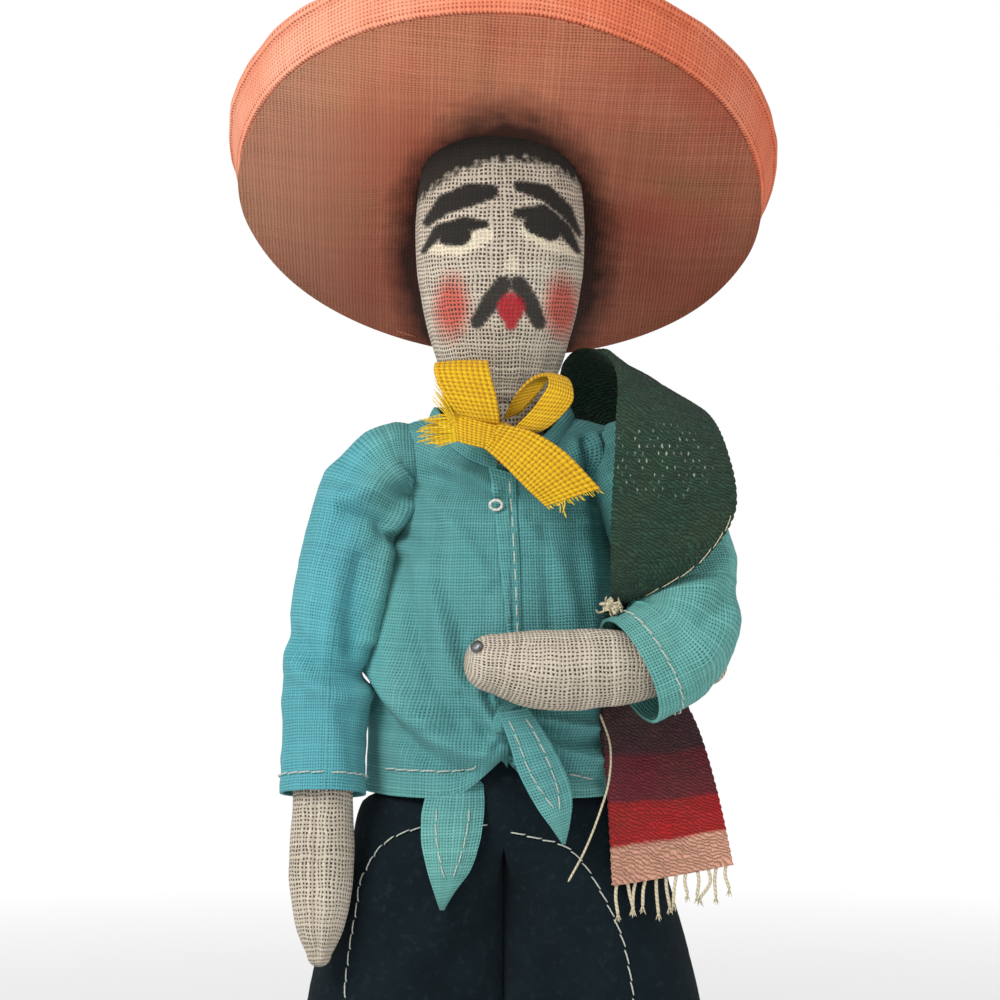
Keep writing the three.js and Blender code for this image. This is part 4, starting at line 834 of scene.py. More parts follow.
def running_stitches(line, normals, stitch=1.6, gap=0.55, high=0.16, slant=0.0):
    """Short raised lines along a path that lies on cloth. Each dips into the cloth at both ends."""
    line, normals = np.asarray(line, float), np.asarray(normals, float)
    far = run_along(line)
    shares = np.array([0, 0.09, 0.3, 0.7, 0.91, 1])
    rise = np.array([-0.5, 0.7, 1.0, 1.0, 0.7, -0.5]) * high
    lines = []
    for number, start in enumerate(np.arange(0.2, far[-1] - stitch, stitch + gap)):
        keys = start + stitch * (0.95 + 0.08 * math.sin(number * 2.3)) * shares
        at = np.stack([np.interp(keys, far, line[:, k]) for k in range(3)], 1)
        up = np.stack([np.interp(keys, far, normals[:, k]) for k in range(3)], 1)
        along_way = unit(at[-1] - at[0])
        sway = np.cross(up, along_way) * (np.linspace(-1, 1, 6) * slant)[:, None]
        lines.append(at + up * rise[:, None] + sway)
    return lines


def sight_tree(piece):
    """A piece's faces, ready to be met by lines of sight."""
    corners = [vertex.co for vertex in piece.data.vertices]
    return BVHTree.FromPolygons(corners, [polygon.vertices for polygon in piece.data.polygons])


def sight(tree, x, z):
    """Where a line of sight from the front meets the faces at (x, z), and the normal there."""
    return tree.ray_cast(Vector(to_frame([x, FAR_FRONT, z])), Vector((0, 1, 0)))[:2]


def on_front(piece, places):
    """Points and normals where lines of sight from the front meet a piece, for a line of (x, z)."""
    tree = sight_tree(piece)
    found, normals = [], []
    for x, z in places:
        hit, normal = sight(tree, x, z)
        if hit is not None:
            found.append((np.array(hit) - MIDDLE) / MM)
            normals.append(np.array(normal))
    return np.array(found), np.array(normals)


def from_photo(pixels, y=-12.0):
    """(x, z) in doll millimetres of points measured on the photograph, for things at a depth y."""
    scale = PIXEL * (1 + y / CAMERA_FAR)
    return [((px - PHOTO_MIDDLE) * scale, EYE_HEIGHT - (py - PHOTO_MIDDLE) * scale) for px, py in pixels]


# %% Wearing a piece
def wear(piece, body, nodes=(), bend=None):
    """Lets a piece ride on a body, or, when bend is given, leaves it fixed where it is; either way it stands
    in place of the frame's own nodes.
    """
    if bend:
        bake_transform(piece)
    else:
        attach(piece, body)
    if nodes:
        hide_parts(*nodes)
    print(piece.name, "on", body, len(piece.data.polygons), "faces")
    return piece


# %% [markdown]
# ## Curves and rounded rings
#
# Limbs, sleeves and strips of cloth all follow a smooth line through a few known points. Round
# pieces are stacks of rings, a little fuller at the corners than an ellipse, as a stuffed or worn
# piece is. Wrinkles are noise stretched along the cloth, and a fold that the photograph shows is
# a line with a width and a height.


# %% Smooth lines
def line_point(points, share):
    """Point at a share of a smooth line through points."""
    span = (len(points) - 1) * min(max(share, 0), 1)
    i = min(int(span), len(points) - 2)
    t = span - i
    b, c = points[i], points[i + 1]
    a = points[i - 1] if i else 2 * b - c
    d = points[i + 2] if i + 2 < len(points) else 2 * c - b
    gaps = [max(np.sum((q - p) ** 2) ** 0.25, 1e-4) for p, q in ((a, b), (b, c), (c, d))]
    out = ((b - a) / gaps[0] - (c - a) / (gaps[0] + gaps[1]) + (c - b) / gaps[1]) * gaps[1]
    into = ((c - b) / gaps[1] - (d - b) / (gaps[1] + gaps[2]) + (d - c) / gaps[2]) * gaps[1]
    near = (2 * t + 1) * (1 - t) ** 2
    return near * b + (1 - near) * c + t * (1 - t) ** 2 * out + t * t * (t - 1) * into


def smooth_line(points, count):
    """Many points of a smooth line through a few."""
    points = [np.atleast_1d(np.asarray(p, float)) for p in points]
    return np.array([line_point(points, k / (count - 1)) for k in range(count)])


def photo_line(pixels, y, count):
    """A smooth line of (x, z) through points measured on the photograph."""
    return smooth_line(from_photo(pixels, y), count)


def along(table, key):
    """Smooth values of a table [[key, value, ...], ...] at a key."""
    keys = [row[0] for row in table]
    i = min(max(int(np.searchsorted(keys, key)) - 1, 0), len(table) - 2)
    span = keys[i + 1] - keys[i]
    t = min(max((key - keys[i]) / span, 0), 1)

    def slope(k):
        low, high = table[max(k - 1, 0)], table[min(k + 1, len(table) - 1)]
        return (np.array(high[1:], float) - low[1:]) / (high[0] - low[0])

    near = (2 * t + 1) * (1 - t) ** 2
    value, end = np.array(table[i][1:], float), np.array(table[i + 1][1:], float)
    ways = t * (1 - t) ** 2 * slope(i) + t * t * (t - 1) * slope(i + 1)
    return near * value + (1 - near) * end + span * ways


def ring(x, y, z, half_width, half_depth, turns, power=2.2):
    """A level ring of points at the given turns, measured from the doll's back."""
    c, s = np.cos(turns + math.pi / 2), np.sin(turns + math.pi / 2)
    reach = (np.abs(c) ** power + np.abs(s) ** power) ** (-1 / power)
    level = np.full(len(turns), float(z))
    return np.stack([x + half_width * reach * c, y + half_depth * reach * s, level], 1)


def between(row, place):
    """A point between two neighbours of a row."""
    at = int(place)
    return row[at] * (1 - place + at) + row[min(at + 1, len(row) - 1)] * (place - at)


def all_round(count):
    """Turns of a full ring."""
    return np.arange(count) * 2 * math.pi / count


# %% Wrinkles and folds
def wrinkle(points, scale, stretch=(1, 1, 1), seed=0.0, octaves=2):
    """Soft noise from -1 to 1 at each point, stretched by the given shares."""
    flat = np.asarray(points, float).reshape(-1, 3) * scale * np.array(stretch, float) + seed
    values = np.zeros(len(flat))
    for octave in range(octaves):
        size = 2**octave
        values += [noise.noise(Vector(p) * size) / size for p in flat]
    return values.reshape(np.shape(points)[:-1])


def fold(points, line, width, height):
    """Rise at each front point of a fold that follows a line of (x, z) with a soft width."""
    flat = np.asarray(points, float).reshape(-1, 3)
    places = flat[:, [0, 2]]
    line = np.asarray(line, float)
    nearest = np.full(len(flat), 1e9)
    for a, b in zip(line, line[1:]):
        run = b - a
        share = np.clip(((places - a) @ run) / (run @ run), 0, 1)
        nearest = np.minimum(nearest, np.linalg.norm(places - a - share[:, None] * run, axis=1))
    rise = height * np.exp(-((nearest / width) ** 2))
    return (rise * (flat[:, 1] < 1)).reshape(np.shape(points)[:-1])


def rings_along(stations, columns, lean):
    """Rings round each (middle, way, radius), with no twist from one to the next."""
    side = np.array(lean, float)
    turns = all_round(columns)[:, None]
    grid = []
    for middle, way, radius in stations:
        side = unit(side - way * (side @ way))
        up = np.cross(way, side)
        grid.append(middle + radius * (np.cos(turns) * side + np.sin(turns) * up))
    return np.array(grid)


def tube_grid(stations, rows, columns):
    """Rings along a smooth line through [point, radius] stations, open at both ends."""
    middles = smooth_line([point for point, _ in stations], rows)
    radii = smooth_line([[radius] for _, radius in stations], rows)[:, 0]
    return rings_along(zip(middles, ways_of(middles), radii), columns, (0, -1, 0))


def limb_grid(stations, columns=40, rows=44):
    """Rings of a stuffed limb through [point, radius] stations, rounded at both ends."""
    centres = [np.asarray(p, float) for p, _ in stations]
    table = [[k / (len(stations) - 1), r] for k, (_, r) in enumerate(stations)]
    shares = np.linspace(0, 1, rows)
    middles = np.array([line_point(centres, s) for s in shares])
    ways = ways_of(middles)
    radii = np.array([along(table, s)[0] for s in shares])
    dome = np.sin(np.linspace(0.04, 0.94, 8) * math.pi / 2)

    def cap(k, sign, swell):
        past = ways[k] * radii[k] * sign
        return [(middles[k] + past * math.sqrt(1 - s * s), ways[k], radii[k] * s) for s in swell]

    body = zip(middles, ways, radii)
    return rings_along([*cap(0, -1, dome), *body, *cap(-1, 1, dome[::-1])], columns, (1, 0, 0))


# %% [markdown]
# ## Stuffed pieces
#
# The head, neck, trunk, arms and legs are tubes of gauze packed with stuffing, so they are round,
# taut and a little lumpy. The head draws in to the chin in small gathers, where the cloth is tied
# round the neck stick.


# %% Lumps in the stuffing
def stuffed(name, grid, material, lump=0.18, seed=0.0):
    """A closed stuffed form with soft lumps."""
    normals = outward_normals(grid)
    grid = grid + normals * (wrinkle(grid, 0.16, seed=seed) * lump)[..., None]
    piece = from_grid(name, grid, material, around=True)
    return piece


# %% Head
HEAD_HALF_WIDTH, HEAD_HALF_DEPTH, CHIN_HALF, HEAD_WIDEST = 13.5, 12.4, 8.6, 0.48


def head_half(z, half):
    """Half width or depth of the egg at a height, from its largest half."""
    share = (z - CHIN) / (HEAD_TOP - CHIN)
    if share > HEAD_WIDEST:
        return half * math.sqrt(1 - min((share - HEAD_WIDEST) / (1 - HEAD_WIDEST), 0.999) ** 2.3)
    return half - (half - CHIN_HALF) * ((HEAD_WIDEST - share) / HEAD_WIDEST) ** 2


def head_grid():
    """The egg of the head, gathered in small pleats where it is tied under the chin."""
    turns = all_round(96)
    pleats = np.cos(15 * turns + 2 * np.sin(3 * turns))
    tied = []
    for z, half in ((173.9, 7.25), (174.2, 7.6), (175.4, 7.8), (176.4, 8.0)):
        half = half + 0.2 * pleats
        tied.append(ring(0, 0, z, half, half, turns))
    shares = np.concatenate([[0.0, 0.012], np.linspace(0.03, 0.93, 70), [0.95, 0.965, 0.98, 0.99, 0.998]])
    rows = []
    for share in shares:
        z = CHIN + share * (HEAD_TOP - CHIN)
        tuck = 0.96 if share == 0 else 1.0
        gather = 0.22 * max(0, 1 - share / 0.16) * pleats
        wide, deep = head_half(z, HEAD_HALF_WIDTH) * tuck, head_half(z, HEAD_HALF_DEPTH) * tuck
        level = ring(0, 0, z, wide, deep, turns)
        away = level - np.array([0, 0, z])
        rows.append(level + away / np.linalg.norm(away, axis=1, keepdims=True) * gather[:, None])
    return np.array(tied + rows)


wear(stuffed("stuffed_head", head_grid(), painted_gauze, 0.12), "head", ["head"])

# %% Neck and trunk
neck_line = [[spot(0, 0, NECK - 3.4), 6.4], [spot(0, 0, NECK + 1), 7.0], [spot(0, 0, CHIN - 3.6), 6.9]]
wear(stuffed("stuffed_neck", limb_grid(neck_line, rows=20), plain_gauze), "neck", ["neck"])

TRUNK = [
    [HIP - 2, 11.5, 5.8], [HIP + 0.5, 15.1, 8.3], [HIP + 5, 16.4, 9.6], [HIP + 21.8, 17.4, 11.2],
    [HIP + 39.9, 15.7, 10.2], [SHOULDER - 3, 14.6, 8.8], [SHOULDER + 2.5, 13.7, 8.3], [NECK + 2, 12.3, 7.9],
]
trunk_rows = []
for z in np.linspace(HIP - 2, NECK - 1.2, 40):
    half_width, half_depth = along(TRUNK, z)
    trunk_rows.append(ring(TRUNK_X, 0, z, half_width - 0.3, half_depth - 0.3, all_round(48)))
wear(stuffed("stuffed_trunk", np.array(trunk_rows), plain_gauze), "torso", ["torso"])

# %% Arms
RIGHT_SHOULDER, LEFT_SHOULDER = spot(TRUNK_X - 19.3, 0, SHOULDER), spot(TRUNK_X + 19.3, 0, SHOULDER)
RIGHT_WAY, RIGHT_FORE = unit([-0.236, -0.125, -0.963]), unit([-0.01, -0.205, -0.979])
LEFT_WAY, LEFT_FORE = unit([0.318, -0.446, -0.836]), unit([-0.992, -0.122, -0.02])
RIGHT_UPPER, LEFT_UPPER, LEFT_FOREARM, HAND_ROUND = 38, 37.7, 37.6, 4.39
RIGHT_ELBOW = RIGHT_SHOULDER + RIGHT_WAY * RIGHT_UPPER
LEFT_ELBOW = LEFT_SHOULDER + LEFT_WAY * LEFT_UPPER
RIGHT_BOW, LEFT_BOW = spot(-1.3, 0, 0.4), spot(0.9, 1, 0)


def upper_arm(name, shoulder, elbow, bow):
    """A stuffed upper arm that bows a little between its shoulder and its elbow."""
    top = shoulder + unit(elbow - shoulder) * 1.8
    grid = limb_grid([[top, 5.0], [(shoulder + elbow) / 2 + bow, 4.9], [elbow, 3.1]], 32, 30)
    return stuffed(name, grid, plain_gauze)


right_arm = upper_arm("stuffed_right_arm", RIGHT_SHOULDER, RIGHT_ELBOW, RIGHT_BOW)
wear(right_arm, "right_upper_arm", ["right_upper_arm"])
left_arm = upper_arm("stuffed_left_arm", LEFT_SHOULDER, LEFT_ELBOW, LEFT_BOW)
wear(left_arm, "left_upper_arm", ["left_upper_arm"])

# %% Forearms with their mitten hands
RIGHT_HAND = [(0, 5.2), (16.3, 4.7), (24, 5.05), (31, 4.9), (37, 3.7), (41, 1.9)]
right_hand_grid = limb_grid([[RIGHT_ELBOW + RIGHT_FORE * far, radius] for far, radius in RIGHT_HAND], 56, 72)
seam = fold(right_hand_grid, [(-28.6, 116), (-28.4, 100), (-28.3, 88)], 0.5, -0.45)
right_hand_grid += outward_normals(right_hand_grid) * seam[..., None]
right_hand = stuffed("right_hand", right_hand_grid, hand_gauze, 0.16, 3.0)
wear(right_hand, "right_forearm", ["right_forearm"])
HAND_TIP = LEFT_ELBOW + LEFT_FORE * (LEFT_FOREARM - HAND_ROUND) + spot(0, 0, 1.2)
left_fore = [[LEFT_ELBOW + LEFT_FORE * far, radius] for far, radius in ((3, 3.2), (13.5, 5.7), (25.6, 6.15))]
left_hand = stuffed("left_hand", limb_grid([*left_fore, [HAND_TIP, 4.5]], 56, 60), hand_gauze, 0.2, 8.0)
wear(left_hand, "left_forearm", ["left_forearm"])

# %% Legs
HIP_OUT, ANKLE_OUT = 9.2, 13
for side, name in ((-1, "right"), (1, "left")):
    hip = spot(TRUNK_X + side * HIP_OUT, 0, HIP)
    ankle = spot(TRUNK_X + side * ANKLE_OUT, 0, 15)
    grid = limb_grid([[hip, 7.3], [(hip + ankle) / 2, 6.3], [ankle, 4.9]], 32, 40)
    wear(stuffed(f"stuffed_{name}_leg", grid, plain_gauze), f"{name}_leg", [f"{name}_leg"])

# %% [markdown]
# ## Felt trousers
#
# Two flared legs of thick felt meet down the middle. Each is a tube from the hem up to the crotch,
# and above it only the outer half goes on, so the two halves make the seat. Felt is too thick for
# sharp folds, so one broad drag, one hollow and soft lumps are enough.

# %% Trouser legs
TROUSERS = [
    [8, 34, 14.5], [46.8, 33, 13.65], [78, 31.4, 12.8], [104, 24.4, 12], [110.4, 22.6, 12],
    [112, 19.7, 11.5], [113.6, 19.4, 11.5], [120, 18.6, 11.2],
]
FELT_WALL, CROTCH, QUARTER, NEAR = 1.2, 105.2, 26, -0.06
DRAG, HOLLOW = [(1.5, 101), (13, 88), (22, 70)], [(3, 97), (9, 78), (12, 50)]


def oval_point(turn, power):
    """A point of a fuller oval of half size one."""
    c, s = math.cos(turn), math.sin(turn)
    reach = (abs(c) ** power + abs(s) ** power) ** (-1 / power)
    return reach * c, reach * s


def trouser_ring(side, z):
    """One ring of a trouser leg. It starts at the inner side and goes by the front and the outside."""
    half_width, half_depth = along(TROUSERS, z)
    middle = TRUNK_X + side * (NEAR + half_width) / 2
    flute = 0.7 * max(0, 1 - z / 83.2)
    seat = np.clip((z - 97) / 8, 0, 1)
    seat = seat * seat * (3 - 2 * seat)
    points = []
    for k in range(4 * QUARTER):
        turn = math.pi + k / (4 * QUARTER) * 2 * math.pi
        x, y = oval_point(turn, 2.5)
        wave = flute * math.cos(6 * turn + 0.6)
        wide = (half_width - NEAR) / 2 + wave
        from_middle_line = wide * x if x >= 0 else max(1.07 * wide * x, -(half_width - NEAR) / 2)
        leg = spot(middle + side * from_middle_line, (half_depth - flute + wave) * y, z)
        share = (k / QUARTER - 0.5) / 3
        if 0 <= share <= 1:
            x, y = oval_point(-math.pi / 2 + share * math.pi, 2.3)
            full = spot(TRUNK_X + side * (NEAR + half_width * x), half_depth * y, z)
        else:
            inner = 2 * k / QUARTER if share < 0 else 2 * (4 - k / QUARTER)
            full = spot(TRUNK_X + side * NEAR, half_depth * inner * (-1 if share < 0 else 1), z)
        points.append(leg * (1 - seat) + full * seat)
    return points


def trouser_grid(side):
    """One trouser leg from the waist down, with a drag from the crotch, a hollow and soft lumps."""
    levels = np.concatenate([np.linspace(119.5, 96, 34), np.linspace(95, 8, 84)])
    grid = np.array([trouser_ring(side, z) for z in levels])
    normals = outward_normals(grid)
    drag = fold(grid, [(TRUNK_X + side * out, z) for out, z in DRAG], 3.2, 0.7)
    drag -= fold(grid, [(TRUNK_X + side * out, z) for out, z in HOLLOW], 3.0, 0.8)
    lump = wrinkle(grid, 0.07, (1, 1, 0.6), 4.0 * side, 2) * 0.7 + wrinkle(grid, 0.5, (1, 1, 1), 9.0) * 0.08
    low = np.clip((112 - grid[..., 2]) / 12, 0, 1)
    away = np.clip(np.abs(grid[..., 0] - TRUNK_X) / 2.5, 0, 1)
    return grid + normals * ((lump + drag) * low * away)[..., None]


trouser_legs = {}
for side, name in ((-1, "right"), (1, "left")):
    grid = trouser_grid(side)
    keep = np.ones((len(grid), 4 * QUARTER), bool)
    inner_wall = np.r_[0 : QUARTER // 2, 4 * QUARTER - QUARTER // 2 : 4 * QUARTER]
    for row in range(len(grid)):
        if grid[row, QUARTER, 2] > CROTCH:
            keep[row, inner_wall] = False
    leg = from_grid(f"felt_leg_{name}", grid, felt, FELT_WALL, around=True, lift=1.0, keep=keep)
    hip_x = TRUNK_X + side * HIP_OUT
    bend = (f"{name}_leg", spot(hip_x, 0, 112), spot(hip_x, 0, 96))
    trouser_legs[side] = (leg, bend)

# %% White stitches that arch over both legs
ARCH = [
    (346, 978), (350, 947), (357, 907), (360, 885), (368, 868), (379, 851), (395, 838), (418, 829),
    (455, 823), (492, 826), (514, 832), (534, 837), (564, 846), (581, 861), (599, 888), (611, 911),
    (623, 941), (629, 970), (633, 998),
]
arch_line = photo_line(ARCH, -11.5, 240)
(right_x, _), (left_x, _) = arch_line[0], arch_line[-1]
right_low = smooth_line([(right_x - 3.5, 10.0), (right_x - 2.5, 45.0), arch_line[0]], 120)
left_low = smooth_line([arch_line[-1], (left_x + 2, 45.0), (left_x + 3, 10.0)], 120)
right_arch = np.concatenate([right_low, arch_line[arch_line[:, 0] < TRUNK_X - 0.8]])
left_arch = np.concatenate([arch_line[arch_line[:, 0] > TRUNK_X + 0.8], left_low])
for side, line, name in ((-1, right_arch, "right"), (1, left_arch, "left")):
    leg, bend = trouser_legs[side]
    stitches = running_stitches(*on_front(leg, line), stitch=2.5, gap=0.02, high=0.3, slant=0.16)
    sewn = threads(f"trouser_stitches_{name}", stitches, dull_thread, SEWING_THREAD)
    wear(leg, "torso", [f"trousers_{name}"], bend)
    wear(sewn, "torso", bend=bend)

# %% [markdown]
# ## Shoes
#
# Plain low shoes with a welted sole are sewn or glued under such trousers, with a seam across the
# toe. Rings that draw in behind the toe make the upper, and a short stack of rings the sole.

# %% Shoes and soles
SHOE = [
    [1.9, 1.0, 0.0, 1.0], [4.2, 1.02, 0.2, 1.0], [5.4, 0.97, 1.6, 0.98], [7.4, 0.94, 9.0, 0.96],
    [13.0, 0.92, 10.2, 0.94],
]
for side, name in ((-1, "right"), (1, "left")):
    ankle_x = TRUNK_X + side * ANKLE_OUT
    rows = []
    for z in np.concatenate([np.linspace(1.9, 7.4, 22), np.linspace(7.8, 13, 8)]):
        width, toe_back, heel = along(SHOE, z)
        front, back = -19 + toe_back, 9 * heel
        rows.append(ring(ankle_x, (front + back) / 2, z, 6.5 * width, (back - front) / 2, all_round(56), 2.4))
    upper = np.array(rows)
    ridge = np.exp(-(((upper[..., 1] + 9.5) / 0.45) ** 2)) * 0.25 * (upper[..., 2] < 7)
    upper += outward_normals(upper) * (ridge + wrinkle(upper, 0.35, seed=side) * 0.12)[..., None]
    shoe = from_grid(f"shoe_{name}", upper, shoe_leather, around=True)
    wear(shoe, f"{name}_leg", [f"{name}_shoe"])
    rows = []
    for z, grow in ((0, -0.35), (0.25, 0), (0.8, 0.05), (1.35, 0), (1.6, -0.35)):
        rows.append(ring(ankle_x, -5, z, 7.1 + grow, 14.6 + grow, all_round(72), 2.4))
    sole = from_grid(f"welted_sole_{name}", np.array(rows), shoe_leather, around=True)
    wear(sole, f"{name}_leg", [f"{name}_sole"])

# %% [markdown]
# ## The shirt
#
# One piece of thin cotton goes round the body. It sits close at the shoulders, blouses out over the
# waist where its two fronts are pulled into the knot, and hangs loose at the hem. The folds follow
# the photograph: long drags that run from the armholes and the side to the knot. A cloth simulation
# would fold it too, but not where the photograph does, so each fold is drawn as a line.

# %% Shirt body
EASE = [[112, 4.2, 2.604], [125.78, 2.2, 1.32], [143.93, 1.7, 1.7], [158.5, 0.45, 0.72], [170, 0.45, 0.45]]
OPENING, SHIRT_WALL, COTTON = 1.0, 0.8, 0.45
BODY_COLUMNS = 260


def shirt_half(z):
    """Half width and half depth of the shirt at a height."""
    half_width, half_depth = along(TRUNK, z)
    wide, deep = along(EASE, z)
    return half_width + wide + SHIRT_WALL, half_depth + deep + SHIRT_WALL


def shirt_front(x, z):
    """Depth of the shirt's plain front at a place."""
    half_width, half_depth = shirt_half(z)
    share = min(abs(x - TRUNK_X) / half_width, 0.94)
    return -half_depth * (1 - share**2.2) ** (1 / 2.2)


def neckline(turn, radius, rise=0.0):
    """A point of the neckline. The turn starts at the throat and first goes to +X."""
    dip = 7.6 * max(0, math.cos(turn)) ** 2
    x, y = TRUNK_X / 2 + radius * math.sin(turn), -0.4 - 0.95 * radius * math.cos(turn)
    return spot(x, y, NECK + 4 - dip + rise)


def soft(value, low, high):
    """0 below low and 1 above high, with a smooth step between."""
    share = np.clip((value - low) / (high - low), 0, 1)
    return share * share * (3 - 2 * share)


def body_column(turn):
    """Control points of the shirt from the hem up to the neckline at one turn from the throat."""
    c, s = math.sin(turn), -math.cos(turn)
    side = c * c
    front = max(0.0, math.cos(turn)) ** 3
    from_slit = 16 * c - 0.4
    lift = max(0, 1 + from_slit / 6.5) ** 1.4 if from_slit < 0 else 0.85 * max(0, 1 - from_slit / 4) ** 1.4
    hem = SHIRT_HEM + 6.6 * front * lift
    angle = math.atan2(s, c)
    x, y = oval_point(angle, 2.2)
    spots = []
    for z in (hem, max(117, hem + 1.2), 122, 129, 137, 146, 153, 158.5):
        half_width, half_depth = shirt_half(z)
        wave = 0.5 * max(0, 1 - (z - SHIRT_HEM) / 26) * math.cos(6 * angle + 0.6)
        spots.append(spot(TRUNK_X + (half_width + wave) * x, (half_depth + wave) * y, z))
    end = neckline(turn, 10.9, -0.4)
    yoke = [(162.0, 16.9, 9.7), (166.6, 18.3, 9.6), (169.4, 17.6, 8.6)]
    for k, (z, half_width, half_depth) in enumerate(yoke):
        flat = spot(TRUNK_X + half_width * x, half_depth * y, z)
        share = (k + 1) / 4
        low = spots[7] * (1 - share) + end * share
        spots.append(flat * side**1.5 + low * (1 - side**1.5))
    spots.append((spots[-1] + end) / 2 + spot(0, 0, 0.35 * side))
    spots.append(end)
    return spots


def body_grid():
    """The shirt body from the throat all the way round, with its two fronts drawn to the knot."""
    levels = np.linspace(0, 1, 190)
    turns = np.linspace(0.012, 2 * math.pi + 0.05, BODY_COLUMNS)
    columns = []
    for turn in turns:
        points = body_column(turn)
        columns.append([line_point(points, s) for s in levels])
    grid = np.array(columns).transpose(1, 0, 2)
    grid[..., 1] += 0.6 * (1 - soft(turns, 0.04, 0.16)) * (grid[..., 2] > 118)
    low = np.clip((122.5 - grid[..., 2]) / 10, 0, 1) ** 1.3
    near = np.exp(-(((grid[..., 0] - OPENING) / 7) ** 2)) * (grid[..., 1] < 0)
    turned = np.sign(np.linspace(1, -1, BODY_COLUMNS))[None, :]
    grid[..., 0] += turned * low * near
    return grid


BODY_FOLDS = [
    ([(372, 650), (386, 684), (410, 716), (440, 740), (472, 752), (500, 754)], 1.7, 2.1),
    ([(376, 690), (396, 726), (426, 756), (462, 770)], 1.6, -1.5),
    ([(432, 560), (438, 610), (452, 660), (476, 704), (500, 730)], 1.5, 1.5),
    ([(402, 560), (410, 610), (428, 668), (458, 722)], 1.3, -1.3),
    ([(380, 590), (388, 640), (404, 684), (432, 722)], 1.2, 1.2),
    ([(438, 462), (470, 474), (496, 490)], 1.2, 1.3),
    ([(430, 476), (462, 494), (490, 506)], 1.5, -0.9),
    ([(432, 500), (462, 536), (488, 580)], 1.4, 0.9),
    ([(398, 530), (426, 560), (456, 620), (476, 672)], 1.3, -0.9),
    ([(470, 640), (480, 690), (497, 724)], 0.9, 1.2),
    ([(483, 668), (490, 700), (502, 722)], 0.7, -1.1),
    ([(492, 680), (496, 706), (502, 724)], 0.6, 0.9),
    ([(462, 694), (480, 724), (496, 744)], 0.7, -1.0),
    ([(506, 722), (494, 740), (486, 752)], 0.8, 0.8),
    ([(522, 712), (556, 722), (605, 730)], 0.9, 1.3),
    ([(524, 724), (560, 738), (605, 744)], 0.8, -1.2),
    ([(526, 732), (566, 752), (606, 762)], 0.9, 1.2),
    ([(528, 744), (560, 768), (604, 784)], 0.9, -0.9),
    ([(520, 520), (556, 560), (580, 640)], 1.6, 0.8),
    ([(544, 530), (548, 580), (552, 630)], 1.3, -0.7),
    ([(585, 520), (592, 580), (594, 640)], 1.3, 0.8),
    ([(596, 436), (603, 470), (610, 498)], 0.8, 1.3),
    ([(586, 440), (592, 470), (598, 500)], 0.8, -0.9),
    ([(576, 446), (580, 480), (584, 520)], 1.0, 0.7),
]


def folded(grid, folds, y):
    """Sum of folds measured on the photograph, for cloth at a depth y."""
    rise = np.zeros(grid.shape[:2])
    for pixels, width, height in folds:
        rise += fold(grid, photo_line(pixels, y, 16), width, height)
    return rise


body = body_grid()
normals = grid_normals(body, False)
normals *= np.sign(((body - spot(0, 0, 140)) * normals * [1, 1, 0]).sum())
body_x, body_y, body_z = body[..., 0], body[..., 1], body[..., 2]
blouse = 1.3 * np.exp(-(((body_z - 128) / 7) ** 2)) * np.clip((-2 - body_x) / 8, 0, 1) * (body_y < 4)
beside = 1.6 * np.exp(-(((body_z - 143) / 9) ** 2)) * soft(-body_x, 10, 17)
rise = folded(body, BODY_FOLDS, -12.5) * soft(18.5 - body_x, 0, 2) + blouse + beside
rise += soft(body_y, 0, 6) * wrinkle(body, 0.11, (1.0, 1.0, 0.5), 21.0, 3) * 0.55
rise += wrinkle(body, 0.14, (1.0, 1.0, 0.7), 5.0, 3) * 0.28
top_calm = np.clip((170.5 - body_z) / 3, 0.15, 1)
body = body + normals * (rise * top_calm)[..., None]
shirt = from_grid("shirt_body", body, shirt_cotton, COTTON, lift=1.0, inside=(0, 0, 140))
wear(shirt, "torso", ["shirt_back", "shirt_front_right", "shirt_front_left"])

# %% [markdown]
# ## The sleeves
#
# Each sleeve is a tube of the same cotton, a little wider than the arm, set into the armhole. The
# right one hangs nearly straight, so rings along a line do for it. The left one is sharply bent:
# plain rings would cross each other in the crook, so its rings run between an inner and an outer
# rail and fan round a small crease.

# %% Right sleeve
SLEEVE_COLUMNS = 132
right_sleeve_line = [
    [spot(-12.9, 0, 164.6), 5.7], [spot(-16.4, 0, 164.1), 6.6], [spot(-19.4, -0.3, 161.9), 7.0],
    [spot(-21.5, -0.9, 157.6), 7.3], [spot(-24.6, -2.6, 146.6), 7.2], [spot(-26.9, -3.9, 136), 6.9],
    [RIGHT_ELBOW + spot(0.2, -0.2, 0), 6.9], [RIGHT_ELBOW + RIGHT_FORE * 8, 6.7],
    [RIGHT_ELBOW + RIGHT_FORE * 16, 6.75],
]
RIGHT_SLEEVE_FOLDS = [
    ([(345, 500), (372, 488), (404, 474), (440, 462)], 1.9, 2.0),
    ([(436, 468), (420, 486), (402, 508), (392, 528)], 1.0, 2.0),
    ([(346, 512), (374, 518), (394, 540)], 1.2, -1.6),
    ([(404, 462), (420, 470), (436, 468)], 0.7, -0.8),
    ([(330, 480), (318, 540), (312, 600)], 2.6, 0.8),
    ([(388, 545), (376, 600), (368, 640)], 1.2, 1.2),
    ([(360, 560), (352, 610), (352, 650)], 1.3, -1.1),
    ([(335, 560), (330, 620), (326, 660)], 1.6, 0.6),
    ([(296, 636), (316, 660), (344, 676), (372, 676)], 1.6, -1.2),
    ([(294, 662), (318, 686), (352, 696), (370, 692)], 1.6, 1.0),
    ([(300, 690), (320, 706), (350, 716)], 1.4, -0.7),
    ([(332, 712), (338, 740), (342, 768)], 1.5, 0.6),
    ([(304, 712), (300, 745), (296, 770)], 1.3, -0.5),
]


